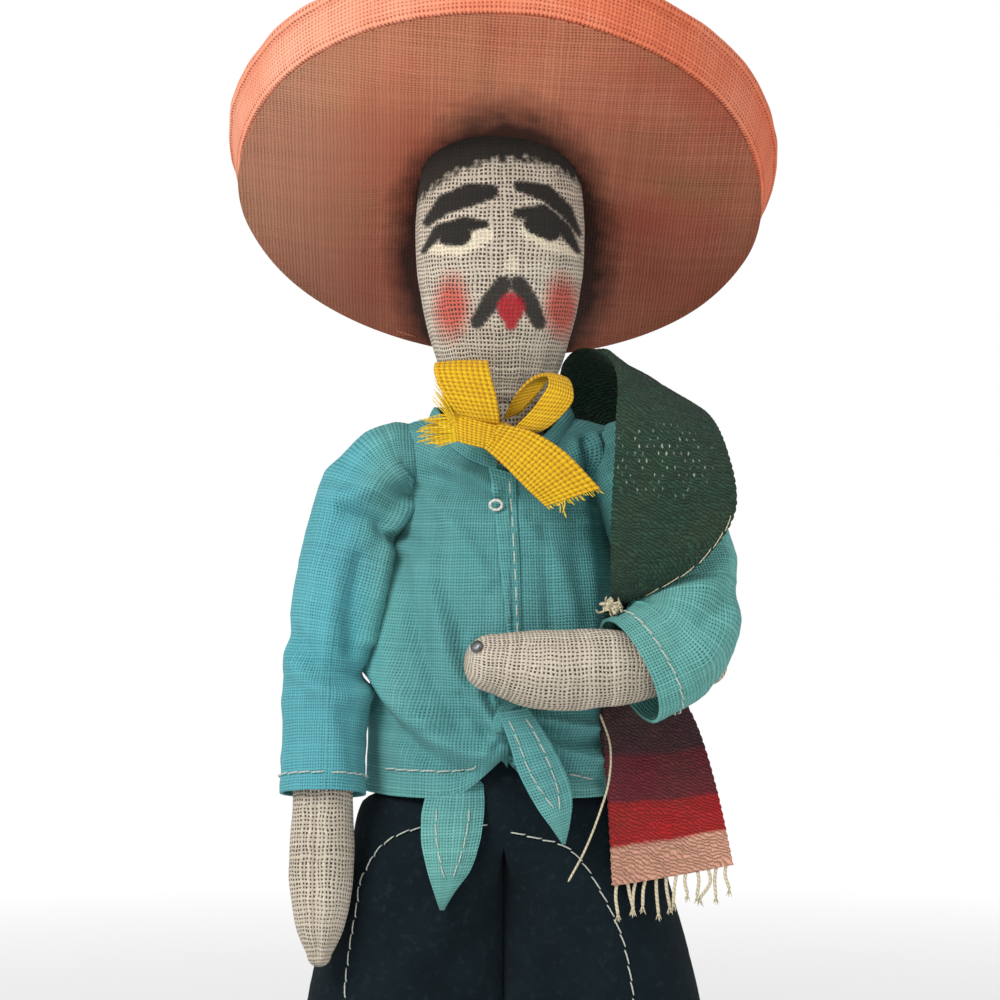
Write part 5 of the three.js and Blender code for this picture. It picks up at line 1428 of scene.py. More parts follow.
def sleeve_grid(grid, folds, y, seed):
    """A sleeve with its folds, which die out at the armhole and the cuff."""
    normals = outward_normals(grid)
    share = np.linspace(0, 1, len(grid))[:, None]
    ease = np.clip(share / 0.12, 0, 1) * np.clip((1 - share) / 0.05, 0.35, 1)
    bent = wrinkle(grid, 0.15, (1, 1, 1), seed, 3) * 0.38 + folded(grid, folds, y)
    behind = soft(grid[..., 1] - grid[..., 1].mean(1, keepdims=True), 0, 4)
    bent += behind * wrinkle(grid, 0.13, (1, 1, 1), seed + 7, 3) * 0.5
    bent += 0.3 * np.exp(-(((share - 0.985) / 0.02) ** 2))
    return grid + normals * (bent * ease)[..., None]


right_tube = tube_grid(right_sleeve_line, 190, SLEEVE_COLUMNS)
right_sleeve_grid = sleeve_grid(right_tube, RIGHT_SLEEVE_FOLDS, -8, 33.0)
right_sleeve = from_grid("sleeve_right", right_sleeve_grid, shirt_cotton, COTTON, around=True, lift=1.0)
right_bend = ("right_forearm", RIGHT_ELBOW - RIGHT_WAY * 6, RIGHT_ELBOW + RIGHT_FORE * 6)

# %% Left sleeve
SLEEVE_BEND, CREASE, FAN = 7.9, 0.8, 24
OUTER_RAIL = [
    spot(37.0, -11.0, 147), spot(36.8, -14.2, 139), spot(34.9, -17.8, 132.6), spot(32.0, -19.9, 129.1),
    spot(27.8, -21.2, 126.8), spot(24.2, -21.6, 125.2),
]
TO_SHOULDER, TO_HAND = -LEFT_WAY, LEFT_FORE
OUT_UP = -unit(TO_HAND - (TO_HAND @ TO_SHOULDER) * TO_SHOULDER)
OUT_ON = -unit(TO_SHOULDER - (TO_SHOULDER @ TO_HAND) * TO_HAND)
INWARD = unit(TO_SHOULDER + TO_HAND)
HALF_BEND = math.acos(TO_SHOULDER @ INWARD)


def bent_sleeve():
    """Rings between an inner and an outer rail, so that they fan round the crease of a sharp bend."""
    reach = (SLEEVE_BEND + CREASE) / math.tan(HALF_BEND)
    crease = LEFT_ELBOW + INWARD * (SLEEVE_BEND + CREASE) / math.sin(HALF_BEND)
    upper = [[44.3, 0.4], [43.7, 2.9], [41.3, 5.7], [37.7, 6.8], [28.7, 7.2], [17.7, 7.6]]
    puffs = smooth_line([[44, 0], [37, 0.4], [30, 3.0], [20, 3.4], [reach, 1.5]], 100)[:, 1]
    rails = []
    for (far, radius), puff in zip(smooth_line([*upper, [reach, SLEEVE_BEND]], 100), puffs):
        bow = LEFT_BOW * 0.7 * soft(far, reach, 24) * (1 - soft(far, 26, 37))
        middle = LEFT_ELBOW + TO_SHOULDER * far + bow
        rails.append([middle - OUT_UP * radius, middle + OUT_UP * (radius + puff), radius + 0.3 * puff])
    outer_start = rails[-1][1]
    turned = [unit(OUT_UP * (1 - s) + OUT_ON * s) for s in np.linspace(0, 1, FAN)]
    inner = np.array([crease - way * CREASE for way in turned] + [LEFT_ELBOW + TO_HAND * 15.9 - OUT_ON * 7.5])
    inner_at = [*np.linspace(0, 0.72, FAN), 1.0]
    outer = smooth_line(OUTER_RAIL, 40)
    outer = np.concatenate([[outer_start], outer[outer[:, 2] < outer_start[2] - 3.5]])
    outer_far = run_along(outer)
    last_wide = rails[-1][2]
    for share in np.linspace(0, 1, 101)[1:]:
        one = np.array([np.interp(share, inner_at, inner[:, k]) for k in range(3)])
        two = np.array([np.interp(share * outer_far[-1], outer_far, outer[:, k]) for k in range(3)])
        rails.append([one, two, last_wide * (1 - share) + SLEEVE_BEND * share])
    beside = unit(np.cross(TO_SHOULDER, TO_HAND))
    turns = all_round(SLEEVE_COLUMNS)[:, None]
    return np.array([(one + two) / 2 + (two - one) / 2 * np.cos(turns) + beside * wide * np.sin(turns)
                     for one, two, wide in rails])


LEFT_SLEEVE_FOLDS = [
    ([(728, 560), (700, 590), (664, 606), (640, 612)], 2.0, 0.8),
    ([(735, 590), (712, 616), (680, 632)], 1.6, -0.6),
    ([(738, 620), (716, 650), (690, 668)], 2.2, 0.6),
    ([(720, 690), (700, 676), (672, 664)], 1.6, -0.5),
]
left_sleeve_grid = sleeve_grid(bent_sleeve(), LEFT_SLEEVE_FOLDS, -20, 61.0)
left_sleeve = from_grid("sleeve_left", left_sleeve_grid, shirt_cotton, COTTON, around=True, lift=1.0)
left_bend = ("left_forearm", LEFT_ELBOW - LEFT_WAY * 6, LEFT_ELBOW + LEFT_FORE * 6)


# %% Cuffs
def cuff_stitches(name, grid, from_end):
    """A closed ring of stitches round a sleeve, a number of millimetres before its end."""
    length = run_down(grid)
    row = int(np.searchsorted(length, length[-1] - from_end))
    normals = outward_normals(grid)[row]
    line = grid[row] + normals * 0.05
    line, normals = np.concatenate([line, line[:1]]), np.concatenate([normals, normals[:1]])
    stitches = running_stitches(line, normals, stitch=2.3, gap=0.02, high=0.28, slant=0.16)
    return threads(name, stitches, dull_thread, SEWING_THREAD)


right_cuff = cuff_stitches("cuff_stitches_right", right_sleeve_grid, 2.9)
left_cuff = cuff_stitches("cuff_stitches_left", left_sleeve_grid, 3.2)
wear(right_sleeve, "right_upper_arm", ["right_sleeve"], right_bend)
wear(left_sleeve, "left_upper_arm", ["left_sleeve"], left_bend)
wear(right_cuff, "right_upper_arm", bend=right_bend)
wear(left_cuff, "left_upper_arm", bend=left_bend)

# %% [markdown]
# ## Collar, placket and button loop
#
# A narrow doubled band follows the neckline and meets at the throat. Below it a strip covers the
# opening, with a running stitch down its left side and one small thread loop that has lost its
# button.

# %% Collar and placket
collar_rows = []
for turn in np.linspace(0.075, 2 * math.pi - 0.075, 150):
    line = []
    for share in np.linspace(-1, 1, 13):
        radius = 11.3 - 0.4 * (share + 1) + 0.25 * (1 - share * share)
        line.append(neckline(turn, radius, 1.15 * share))
    collar_rows.append(line)
collar = np.array(collar_rows)
collar += spot(0, 0, 1) * (wrinkle(collar, 0.2, seed=3.0) * 0.18)[..., None]
collar_piece = from_grid("collar_band", collar, shirt_cotton, 0.8, width=2.6)
wear(collar_piece, "torso", ["shirt_collar"])

placket_left = [(489, 466), (494, 500), (500, 560), (506, 610), (509, 660), (510, 700)]
placket_right = [(515, 474), (516, 500), (519, 560), (520, 610), (521, 660), (520, 700)]


def laid_grid(piece, edge_one, edge_two, rows, columns, sunk, raised):
    """A strip's grid on the front of a piece, between two edges measured on the photograph."""
    one, two = photo_line(edge_one, -12.5, rows), photo_line(edge_two, -12.5, rows)
    tree = sight_tree(piece)
    share = np.linspace(0, 1, columns)
    crown = raised * np.sqrt(np.maximum(0.0, 1 - (2 * share - 1) ** 4))
    grid = []
    for a, b in zip(one, two):
        places = a + (b - a) * share[:, None]
        hits = [sight(tree, x, z)[0] for x, z in places]
        depth = np.array([(hit[1] - MIDDLE[1]) / MM if hit is not None else 0 for hit in hits])
        depth = np.minimum(depth, np.median(depth) + 0.15)
        grid.append(np.stack([places[:, 0], depth - sunk - crown, places[:, 1]], 1))
    grid = np.array(grid)
    for _ in range(2):
        grid[1:-1, :, 1] = (grid[:-2, :, 1] + 2 * grid[1:-1, :, 1] + grid[2:, :, 1]) / 4
    return grid


placket_grid = laid_grid(shirt, placket_left, placket_right, 120, 14, sunk=0.15, raised=0.25)
placket = from_grid("placket_strip", placket_grid, shirt_cotton, 0.5, inside=(0, 0, 140))
wear(placket, "torso", ["shirt_placket"])

# %% Placket stitches and button loop
sewn_side = placket_grid[6:116, 10]
outward = np.tile([0, -1.0, 0], (len(sewn_side), 1))
stitches = running_stitches(sewn_side, outward, stitch=2.4, gap=0.4, high=0.3)
sewn = threads("placket_stitches", stitches, dull_thread, SEWING_THREAD)
wear(sewn, "torso")
loop_x, loop_z = from_photo([(496, 505)], -12)[0]
loop_y = shirt_front(loop_x, loop_z) - 1.05
loop = [spot(loop_x + 0.95 * math.cos(t), loop_y - 0.25 * math.sin(t), loop_z + 0.75 * math.sin(t))
        for t in np.linspace(0, 2 * math.pi, 28)]
button_loop = threads("button_loop_thread", [loop], white_thread, 0.24, sides=8, taper=1.0)
wear(button_loop, "torso", ["button_loop"])

# %% Shirt hem and shoulder stitches
HEM_RIGHT = [(384, 771), (420, 771), (450, 772), (472, 768), (482, 762)]
HEM_LEFT = [(552, 772), (575, 776), (598, 782)]
YOKE_SEAM = [(428, 419), (410, 423), (392, 428), (376, 434)]
lines = []
for pixels in (HEM_RIGHT, HEM_LEFT):
    hem = on_front(shirt, photo_line(pixels, -12, 80))
    lines += running_stitches(*hem, stitch=2.4, gap=0.02, high=0.28, slant=0.14)
wear(threads("hem_stitches", lines, dull_thread, SEWING_THREAD), "torso")
yoke = running_stitches(*on_front(shirt, photo_line(YOKE_SEAM, -6, 40)), stitch=1.0, gap=0.6, high=0.1)
wear(threads("shoulder_stitches", yoke, turquoise_thread, 0.12), "torso")

# %% [markdown]
# ## The waist knot
#
# The two fronts end in straps that are tied once. The knot is a small bunched pad, and each strap
# comes out of it as a leaf that widens and then closes to a point, with a line of stitches just
# inside both edges.

# %% Knot and leaf-shaped ends
LEAF_ROWS, LEAF_COLUMNS = 70, 22
knot_x, knot_z = 1.3, 125.4
knot_y = shirt_front(knot_x, knot_z) - 2.21
knot_rows = []
turns = all_round(40)
for share in np.linspace(-0.985, 0.985, 34):
    flat = math.sqrt(1 - share * share)
    bunch = 1 + 0.07 * np.cos(9 * turns + 3 * share)
    x, y = 2.3 * flat * np.cos(turns) * bunch, 1.7 * flat * np.sin(turns) * bunch
    level = np.stack([knot_x + x + 0.9 * share, knot_y + y, knot_z + 3.1 * share + 0.35 * x], 1)
    knot_rows.append(level)
knot = from_grid("waist_knot", np.array(knot_rows), shirt_cotton, around=True)
wear(knot, "torso", ["shirt_knot"])


def leaf(name, left, right, depths, first_stitch):
    """A leaf of doubled cloth between two edges measured on the photograph. depths are its y values."""
    one, two = photo_line(left, depths[0], LEAF_ROWS), photo_line(right, depths[0], LEAF_ROWS)
    depth = smooth_line([[d] for d in depths], LEAF_ROWS)[:, 0]
    share = np.linspace(0, 1, LEAF_COLUMNS)
    grid = []
    for a, b, y in zip(one, two, depth):
        places = a + (b - a) * share[:, None]
        cup = 0.9 * min(np.linalg.norm(b - a) / 8, 1)
        grid.append(np.stack([places[:, 0], y - cup * np.sin(math.pi * share), places[:, 1]], 1))
    grid = np.array(grid)
    grid[..., 1] -= wrinkle(grid, 0.22, seed=len(name)) * 0.35
    piece = from_grid(name, grid, shirt_cotton, 0.7, inside=(0, 0, 110))
    lines, last = [], int(LEAF_ROWS * 0.74)
    for side in (-1, 1):
        path = []
        for row in range(first_stitch, last):
            column = (LEAF_COLUMNS - 1) * (0.5 + side * 0.27 * (1 - (row / last) ** 4))
            path.append(between(grid[row], column))
        path = np.array(path) - spot(0, 0.42, 0)
        outward = np.tile([0, -1.0, 0], (len(path), 1))
        lines += running_stitches(path, outward, stitch=2.0, gap=0.2, high=0.16, slant=0.1)
    return piece, threads(f"{name}_stitches", lines, dull_thread, 0.1)


tail_one = leaf("shirt_end_right", [(436, 772), (424, 804), (422, 836), (429, 868), (437, 894), (441, 906)],
                [(482, 772), (484, 804), (481, 832), (470, 866), (453, 890), (444, 906)],
                [-10.6, -12.1, -13.6, -14.5, -14.7, -14.5], 15)
tail_two = leaf("shirt_end_left", [(499, 712), (509, 740), (520, 775), (536, 805), (552, 828), (563, 845)],
                [(527, 708), (545, 735), (560, 762), (571, 792), (570, 820), (565, 845)],
                [-16.6, -17.3, -17.0, -16.2, -15.6, -15.2], 4)
for (piece, sewn), node in ((tail_one, "shirt_tail_right"), (tail_two, "shirt_tail_left")):
    wear(piece, "torso", [node])
    wear(sewn, "torso")

# %% [markdown]
# ## The sombrero
#
# The hat is stiff cloth, round about its own axis and tipped back on the head, so the camera looks
# up at its stained lining. The rim is a broad band of coarser cloth turned up all round. Every ring
# is made in the hat's own level frame and then tipped, because a tipped ring is hard to measure.

# %% Hat shapes
HAT_TILT, HAT_ROLL = math.radians(-33.5), math.radians(4)
BRIM, RIM_HEIGHT, CROWN_WIDE, CROWN_HIGH = 40.8, 8.0, 16.4, 31.0
RIM_COLUMNS, CROWN_COLUMNS = 300, 150
tilt_c, tilt_s = math.cos(HAT_TILT), math.sin(HAT_TILT)
roll_c, roll_s = math.cos(HAT_ROLL), math.sin(HAT_ROLL)
tilt = np.array([[1, 0, 0], [0, tilt_c, -tilt_s], [0, tilt_s, tilt_c]])
roll = np.array([[roll_c, 0, roll_s], [0, 1, 0], [-roll_s, 0, roll_c]])


def on_head(points):
    """From the hat's own level frame to the doll."""
    return np.asarray(points, float) @ (roll @ tilt).T + spot(0, 0.6, HAT)


def hat_ring(radius, height, columns):
    """A ring in the hat's own frame. Its radius and height may vary round it."""
    turns = all_round(columns)
    radius, height = np.broadcast_to(radius, columns), np.broadcast_to(height, columns)
    return np.stack([radius * np.cos(turns), radius * np.sin(turns), height], 1)


def dish(radius):
    """How far the brim sags at a radius."""
    share = np.clip((np.asarray(radius) - CROWN_WIDE) / (BRIM - CROWN_WIDE), -1, 1)
    return -1.5 * np.sin(math.pi * share)


def head_edge(height, columns):
    """How far from the hat's axis the head's surface is, in each direction."""
    reach = np.zeros(columns)
    for radius in np.linspace(4, 22, 90):
        level = on_head(hat_ring(radius, height, columns))
        for k, (x, y, z) in enumerate(level):
            if CHIN < z < HEAD_TOP:
                x_share, y_share = x / head_half(z, HEAD_HALF_WIDTH), y / head_half(z, HEAD_HALF_DEPTH)
                if abs(x_share) ** 2.2 + abs(y_share) ** 2.2 < 1:
                    reach[k] = radius
    return np.maximum(reach, 5.0)


def brim_grid(height, rows, columns, outer):
    """Rings from the head's edge out to the brim's."""
    inner = head_edge(height, columns) + 0.25
    grid = []
    for share in np.linspace(0, 1, rows):
        radius = inner + (outer - inner) * share
        grid.append(hat_ring(radius, dish(radius) + height, columns))
    return np.array(grid)


LINING_ROWS = 90
to_back = np.sin(all_round(RIM_COLUMNS))
under_rim = 1.4 * soft(to_back, -0.35, 0.3) + 0.4 * soft(to_back, 0.3, 0.7)
lining_grid = brim_grid(-0.55, LINING_ROWS, RIM_COLUMNS, BRIM + 0.35 + under_rim)
edge_share = np.linspace(0, 1, LINING_ROWS)[:, None] ** 12
lining_grid[..., 2] -= 0.55 * edge_share * np.maximum(under_rim > 0, 0.4)
lining_grid[..., 2] += wrinkle(lining_grid, 0.07, (1, 1, 1), 12.0, 3) * 0.35 * (1 - edge_share**0.4)
lining = from_grid("brim_lining_cloth", on_head(lining_grid), lining_cloth, COTTON, around=True,
                   flat=lining_grid[..., :2])
wear(lining, "head", ["brim_lining"])
top_grid = brim_grid(0.7, 60, 240, BRIM + 0.05)
top_grid[..., 2] += wrinkle(top_grid, 0.08, (1, 1, 1), 2.0, 2) * 0.25
brim = from_grid("brim_cloth", on_head(top_grid), hat_cloth, 1.2, around=True, flat=top_grid[..., :2])
wear(brim, "head", ["sombrero_brim"])

# %% Rim
rim_rows, rim_deep = [], []
for share in np.concatenate([np.linspace(0, 0.9, 26), np.linspace(0.92, 1.14, 12)]):
    radius = BRIM + 0.65 + 1.4 * math.sin(min(share, 1) * math.pi / 2) + 0.3 * soft(share, 0.84, 0.96)
    rim_rows.append(hat_ring(radius, -0.8 + share * RIM_HEIGHT, RIM_COLUMNS))
    deep = 0.5 + 0.8 * soft(share, 0, 0.12) + 0.9 * soft(share, 0.84, 0.9)
    rim_deep.append(deep - 1.9 * soft(share, 1.02, 1.14))
rim_grid = np.array(rim_rows)
rim_grid[..., 2] += wrinkle(rim_grid, 0.05, (1, 1, 0.2), 40.0, 2) * 0.35
upwards = np.clip(np.linspace(-0.1, 2, len(rim_grid)), 0, 1)[:, None]
swell = wrinkle(rim_grid, 0.12, (1, 1, 0.3), 44.0, 2) * 0.3 * upwards
rim_grid += outward_normals(rim_grid) * swell[..., None]
rim_wall = np.array(rim_deep)[:, None] * np.ones(RIM_COLUMNS)
rim = from_grid("rim_cloth", on_head(rim_grid), hat_cloth, rim_wall, around=True)
wear(rim, "head", ["sombrero_rim"])

# %% Crown
CROWN_TOP, ROUNDED_FROM = 9.2, 0.86
crown_rows = []
for share in np.concatenate([np.linspace(0, ROUNDED_FROM, 52), np.linspace(0.88, 1.0, 20)]):
    shrunk = min(share / 0.9, 1)
    radius = CROWN_WIDE + (CROWN_TOP - CROWN_WIDE) * shrunk**1.4
    if share > ROUNDED_FROM:
        rounded = (share - ROUNDED_FROM) / (1 - ROUNDED_FROM)
        radius *= math.sqrt(max(1 - rounded**2.2, 1e-5))
    crown_rows.append(hat_ring(radius, 1.8 + share * CROWN_HIGH, CROWN_COLUMNS))
crown_grid = np.array(crown_rows)
four_sides = np.cos(2 * all_round(CROWN_COLUMNS))[None, :] ** 2
pinch = 1 - 0.16 * np.exp(-(((crown_grid[..., 2] - 24) / 8) ** 2)) * four_sides
crown_grid[..., :2] *= pinch[..., None]
crown_grid += outward_normals(crown_grid) * (wrinkle(crown_grid, 0.1, seed=70.0, octaves=3) * 0.5)[..., None]
crown = from_grid("crown_cloth", on_head(crown_grid), hat_cloth, 0.9, around=True, lift=1.0)
wear(crown, "head", ["sombrero_crown"])

# %% [markdown]
# ## The ribbon bow
#
# One length of yellow woven ribbon is tied round the neck. Two loops stand up from the knot. The end
# that crosses over in front is cut straight and frays a little, and the other end is short and has
# frayed into a tuft. Each loop and tail is a strip between two edges read off the photograph.

# %% Ribbon pieces
BOW = spot(0.8, -14.57, 167.6)
RIBBON_WALL, RIBBON_WIDTH, RIBBON_CURL = 0.5, 9.6, 0.25
RIGHT_LOOP = [
    ((478, 424), (500, 436), -15.2), ((455, 410), (499, 416), -16.8), ((441, 390), (496, 396), -17.2),
    ((434, 372), (490, 374), -16.4), ((436, 364), (488, 362), -14.6), ((438, 374), (489, 370), -13.0),
    ((452, 396), (496, 394), -12.6), ((478, 420), (502, 428), -13.2),
]
LEFT_LOOP = [
    ((503, 440), (524, 435), -15.4), ((520, 422), (549, 426), -17.0), ((537, 404), (569, 407), -17.4),
    ((548, 387), (573, 396), -16.6), ((546, 375), (568, 380), -15.0), ((532, 379), (552, 377), -13.4),
    ((515, 396), (540, 391), -12.6), ((503, 420), (521, 412), -13.0),
]
LONG_TAIL = [
    ((484, 448), (500, 424), -17.4), ((500, 462), (528, 430), -17.6), ((522, 484), (560, 448), -17.4),
    ((545, 506), (600, 488), -16.6),
]
SHORT_TAIL = [
    ((496, 450), (504, 428), -17.0), ((480, 447), (482, 422), -16.8), ((468, 444), (468, 418), -16.4),
    ((458, 441), (456, 414), -15.8),
]


def pixel_point(px, py, y):
    """The doll point behind a pixel, at a depth y."""
    x, z = from_photo([(px, py)], y)[0]
    return spot(x, y, z)


def ribbon(name, edges, rows):
    """A ribbon whose two edges pass through pairs of pixels, each pair at a depth y."""
    ends = [(pixel_point(*one, y), pixel_point(*two, y)) for one, two, y in edges]
    line = smooth_line([(one + two) / 2 for one, two in ends], rows)
    half = smooth_line([(two - one) / 2 for one, two in ends], rows)
    grid = []
    for at, across, way in zip(line, half, np.gradient(line, axis=0)):
        up = unit(np.cross(across, way)) * RIBBON_CURL
        grid.append([at + across * s + up * (1 - s * s) for s in np.linspace(-1, 1, 18)])
    grid = np.array(grid)
    return from_grid(name, grid, ribbon_satin, RIBBON_WALL, width=RIBBON_WIDTH), grid


right_loop, _ = ribbon("bow_loop_right", RIGHT_LOOP, 110)
left_loop, _ = ribbon("bow_loop_left", LEFT_LOOP, 110)
wear(right_loop, "neck", ["ribbon_loop_right"])
wear(left_loop, "neck", ["ribbon_loop_left"])
tail_piece, tail_grid = ribbon("bow_tail_left", LONG_TAIL, 70)
wear(tail_piece, "neck", ["ribbon_tail_left"])
short_piece, short_grid = ribbon("bow_tail_right", SHORT_TAIL, 70)
wear(short_piece, "neck", ["ribbon_tail_right"])

# %% Bow knot
knot_rows = []
slant_c, slant_s = math.cos(math.radians(32)), math.sin(math.radians(32))
turns = all_round(36)
for share in np.linspace(-0.98, 0.98, 30):
    flat = (1 - abs(share) ** 2.6) ** (1 / 2.6)
    x, z = 3.3 * share, 2.5 * flat * np.sin(turns)
    y = 1.9 * flat * np.cos(turns) * (1 + 0.06 * np.cos(10 * turns))
    level = np.stack([x * slant_c + z * slant_s, y - 0.7, z * slant_c - x * slant_s], 1)
    knot_rows.append(BOW + level)
wear(from_grid("bow_knot", np.array(knot_rows), ribbon_satin, around=True), "neck", ["ribbon_knot"])

# %% Frayed ends
def astray(place, seed, parts):
    """A small push this way or that, always the same for one place and seed."""
    return np.array([noise.noise(Vector((place, seed, part))) for part in parts])


def frays(grid, count, length, spread, seed, way=None):
    """Loose threads that leave the last row of a ribbon."""
    lines = []
    for k in range(count):
        share = (k + 0.5) / count * (grid.shape[1] - 1)
        column = int(share)
        start = between(grid[-2], share)
        out = unit(grid[-1, column] - grid[-6, column]) if way is None else unit(way)
        stray = astray(k * 1.7, seed, (0.3, 5.1, 9.7))
        here = length * (0.55 + 0.75 * abs(noise.noise(Vector((k * 0.9, seed, 3.3)))) * 2)
        tip = start + (out + stray * spread) * here
        bend = (start + tip) / 2 + np.roll(stray, 1) * here * spread * 0.5
        lines.append(smooth_line([start, bend, tip], 9))
    return lines


loose = frays(tail_grid, 26, 1.3, 0.35, 2.0) + frays(tail_grid[:, 4:8], 3, 3.2, 0.5, 8.0, (0.1, -0.05, -1))
wear(threads("bow_frays_left", loose, yellow_thread, 0.09, 5), "neck")
loose = frays(short_grid, 110, 4.6, 0.3, 5.0, (-0.95, -0.1, -0.12))
loose += frays(short_grid[:, 8:], 90, 4.4, 0.4, 11.0, (-0.45, -0.15, 0.8))
wear(threads("bow_frays_right", loose, yellow_thread, 0.08, 5), "neck")

# %% Ribbon round the neck
BAND_RADIUS = 8.1
band_rows = []
for turn in np.linspace(0.55, 2 * math.pi - 0.55, 90):
    front = max(0, math.cos(turn)) ** 2
    x, y = BAND_RADIUS * math.sin(turn), -BAND_RADIUS * math.cos(turn) - 2.4 * front
    band_rows.append([spot(x, y, NECK + 5.4 - 4.6 * front + 1.3 * s) for s in np.linspace(-1, 1, 9)])
band = from_grid("neck_ribbon", np.array(band_rows), ribbon_satin, RIBBON_WALL, width=3.2)
wear(band, "neck", ["ribbon_neckband"])

# %% [markdown]
# ## Pin and neck stick
#
# A steel pin with a cut head is pushed through the left hand. It is one turned profile, as is the
# plain round dowel inside the neck, so both are stacks of rings.

# %% Pin and stick
pin_way = unit([-0.52, -0.64, 0.57])
pin_seat = HAND_TIP + pin_way * (HAND_ROUND + 0.35)
pin_side = unit(np.cross(pin_way, [0, 0, 1]))
pin_up = np.cross(pin_side, pin_way)
PIN = [
    (-0.62, 0.12), (-0.6, 0.45), (-0.5, 0.74), (-0.3, 0.94), (-0.05, 1.0), (0.2, 0.92), (0.42, 0.6),
    (0.5, 0.37), (2.0, 0.35), (5.0, 0.35), (6.4, 0.3), (7.0, 0.06),
]
turns = all_round(40)[:, None]
pin_rows = []
for depth, radius in PIN:
    dimple = 0.12 * (depth < -0.4)
    round_it = radius * (pin_side * np.cos(turns) + pin_up * np.sin(turns))
    pin_rows.append(pin_seat - pin_way * (depth + dimple) + round_it)
wear(from_grid("hand_pin", np.array(pin_rows), pin_steel, around=True), "pin", ["pin"])
STICK = [(169.0, 0.6), (169.15, 1.1), (169.5, 1.45), (182.0, 1.5), (194.5, 1.45), (194.85, 1.1), (195.0, 0.6)]
stick_rows = [ring(0, 0, z, radius, radius, all_round(32), 2.0) for z, radius in STICK]
wear(from_grid("neck_dowel", np.array(stick_rows), stick_wood, around=True), "neck", ["neck_stick"])

# %% [markdown]
# ## The sarape
#
# One narrow woven strip stands in an arch over the left shoulder. In front it drapes over the
# sleeve, narrows to the stitch above the forearm, passes behind it and comes out below as a
# striped end. Fat wefts cover the warps, so the relief of every grain is modelled, and its edges
# are wavy where the weft turns back. Warp ends are left as a fringe at both ends.

# %% Sarape strip
SARAPE = [
    [[17.6, -13.2, 98.6], [27.0, -9.6, 99.6], [36.6, -8.2, 101.2]],
    [[16.9, -11, 113], [25.5, -7.9, 112.7], [34, -7, 113.4]],
    [[15.8, -11.2, 123.5], [23.2, -7.9, 123.2], [30.6, -7, 123.9]],
    [[16.4, -9.6, 131.5], [21.4, -9.2, 131.5], [25.8, -8.6, 131.5]],
    [[16.5, -10, 138.7], [18.3, -9.8, 139], [20.3, -9.5, 139.4]],
    [[16.8, -13, 142.2], [18.6, -13.1, 142.8], [20.3, -13.1, 143.6]],
    [[17.2, -16, 142.3], [19, -17.4, 142.9], [21.2, -18.4, 143.9]],
    [[17.2, -19.6, 148.5], [24, -21.8, 148.7], [30.8, -21.4, 149.3]],
    [[17.2, -19, 156.5], [26.6, -20.6, 156.5], [36, -18.4, 156.9]],
    [[18.1, -15.4, 169.5], [26.4, -17, 169.1], [34, -13.4, 168.5]],
    [[18.3, -10.5, 177.9], [25.2, -11, 175.6], [32, -9.5, 171.9]],
    [[16.6, -2.5, 182.2], [22.5, -3.5, 177.3], [29.7, -3.5, 173.6]],
    [[11.6, 4, 181.2], [16.4, 4.5, 181.9], [26.9, 4, 175.2]],
    [[10, 10.5, 177.2], [16.7, 11.4, 177.6], [26.7, 10.4, 171.8]],
    [[10.9, 17.2, 152.5], [20.4, 18, 152.2], [29.9, 16.6, 152.7]],
    [[11.3, 18.7, 132.5], [20.8, 19.5, 132.2], [30.3, 18.1, 132.7]],
    [[11.9, 17.4, 110.5], [21.4, 18.2, 110.2], [30.9, 16.8, 110.7]],
]
SARAPE_ROWS, SARAPE_COLUMNS = 560, 62
edge, middle, other = [smooth_line([row[k] for row in SARAPE], SARAPE_ROWS)[:, None] for k in range(3)]
share = np.linspace(0, 1, SARAPE_COLUMNS)[None, :, None]
plain = edge * (1 - share) * (1 - 2 * share) + other * share * (2 * share - 1)
plain += middle * 4 * share * (1 - share)
strip_length = float(run_along(plain[:, SARAPE_COLUMNS // 2])[-1])
weft_row = run_down(plain)[:, None] / WEFT
column_at = np.linspace(0, STRIP_WIDTH, SARAPE_COLUMNS)[None, :] / GRAIN + 0.5 * (np.floor(weft_row) % 2)
ridge = np.cos((weft_row % 1 - 0.5) * math.pi)
grain = ridge * (0.45 + 0.55 * np.cos((column_at % 1 - 0.5) * 2.6))
normals = grid_normals(plain, False)
sag = wrinkle(plain, 0.12, seed=14.0, octaves=2) * 0.3
woven = plain + normals * (0.1 * (grain - 0.5) + sag)[..., None]
out = np.gradient(plain, axis=1)
out /= np.maximum(np.linalg.norm(out, axis=2, keepdims=True), 1e-9)
turn_back = 0.08 * np.cos(weft_row[:, 0] * math.pi)
woven[:, 0] -= out[:, 0] * turn_back[:, None]
woven[:, -1] += out[:, -1] * turn_back[:, None]
sarape_wool = sarape_finish(strip_length)
sarape = from_grid("sarape_strip", woven, sarape_wool, 1.0, width=STRIP_WIDTH)
wear(sarape, "torso", ["sarape"])
print("sarape", STRIP_WIDTH, "by", round(strip_length, 1), "mm")

# %% Cream thread along the outer edge in front
in_front = slice(int(SARAPE_ROWS * 0.383), int(SARAPE_ROWS * 0.5))
edge_normals = normals[in_front, -2]
edge_normals = edge_normals * np.where(edge_normals[:, 1:2] > 0, -1, 1)
edge_line = plain[in_front, -2] - out[in_front, -2] * 0.2 + edge_normals * 0.55
stitches = running_stitches(edge_line, edge_normals, stitch=3.2, gap=0.15, high=0.12, slant=0.15)
wear(threads("sarape_edge_thread", stitches, cream_thread, 0.07), "torso")

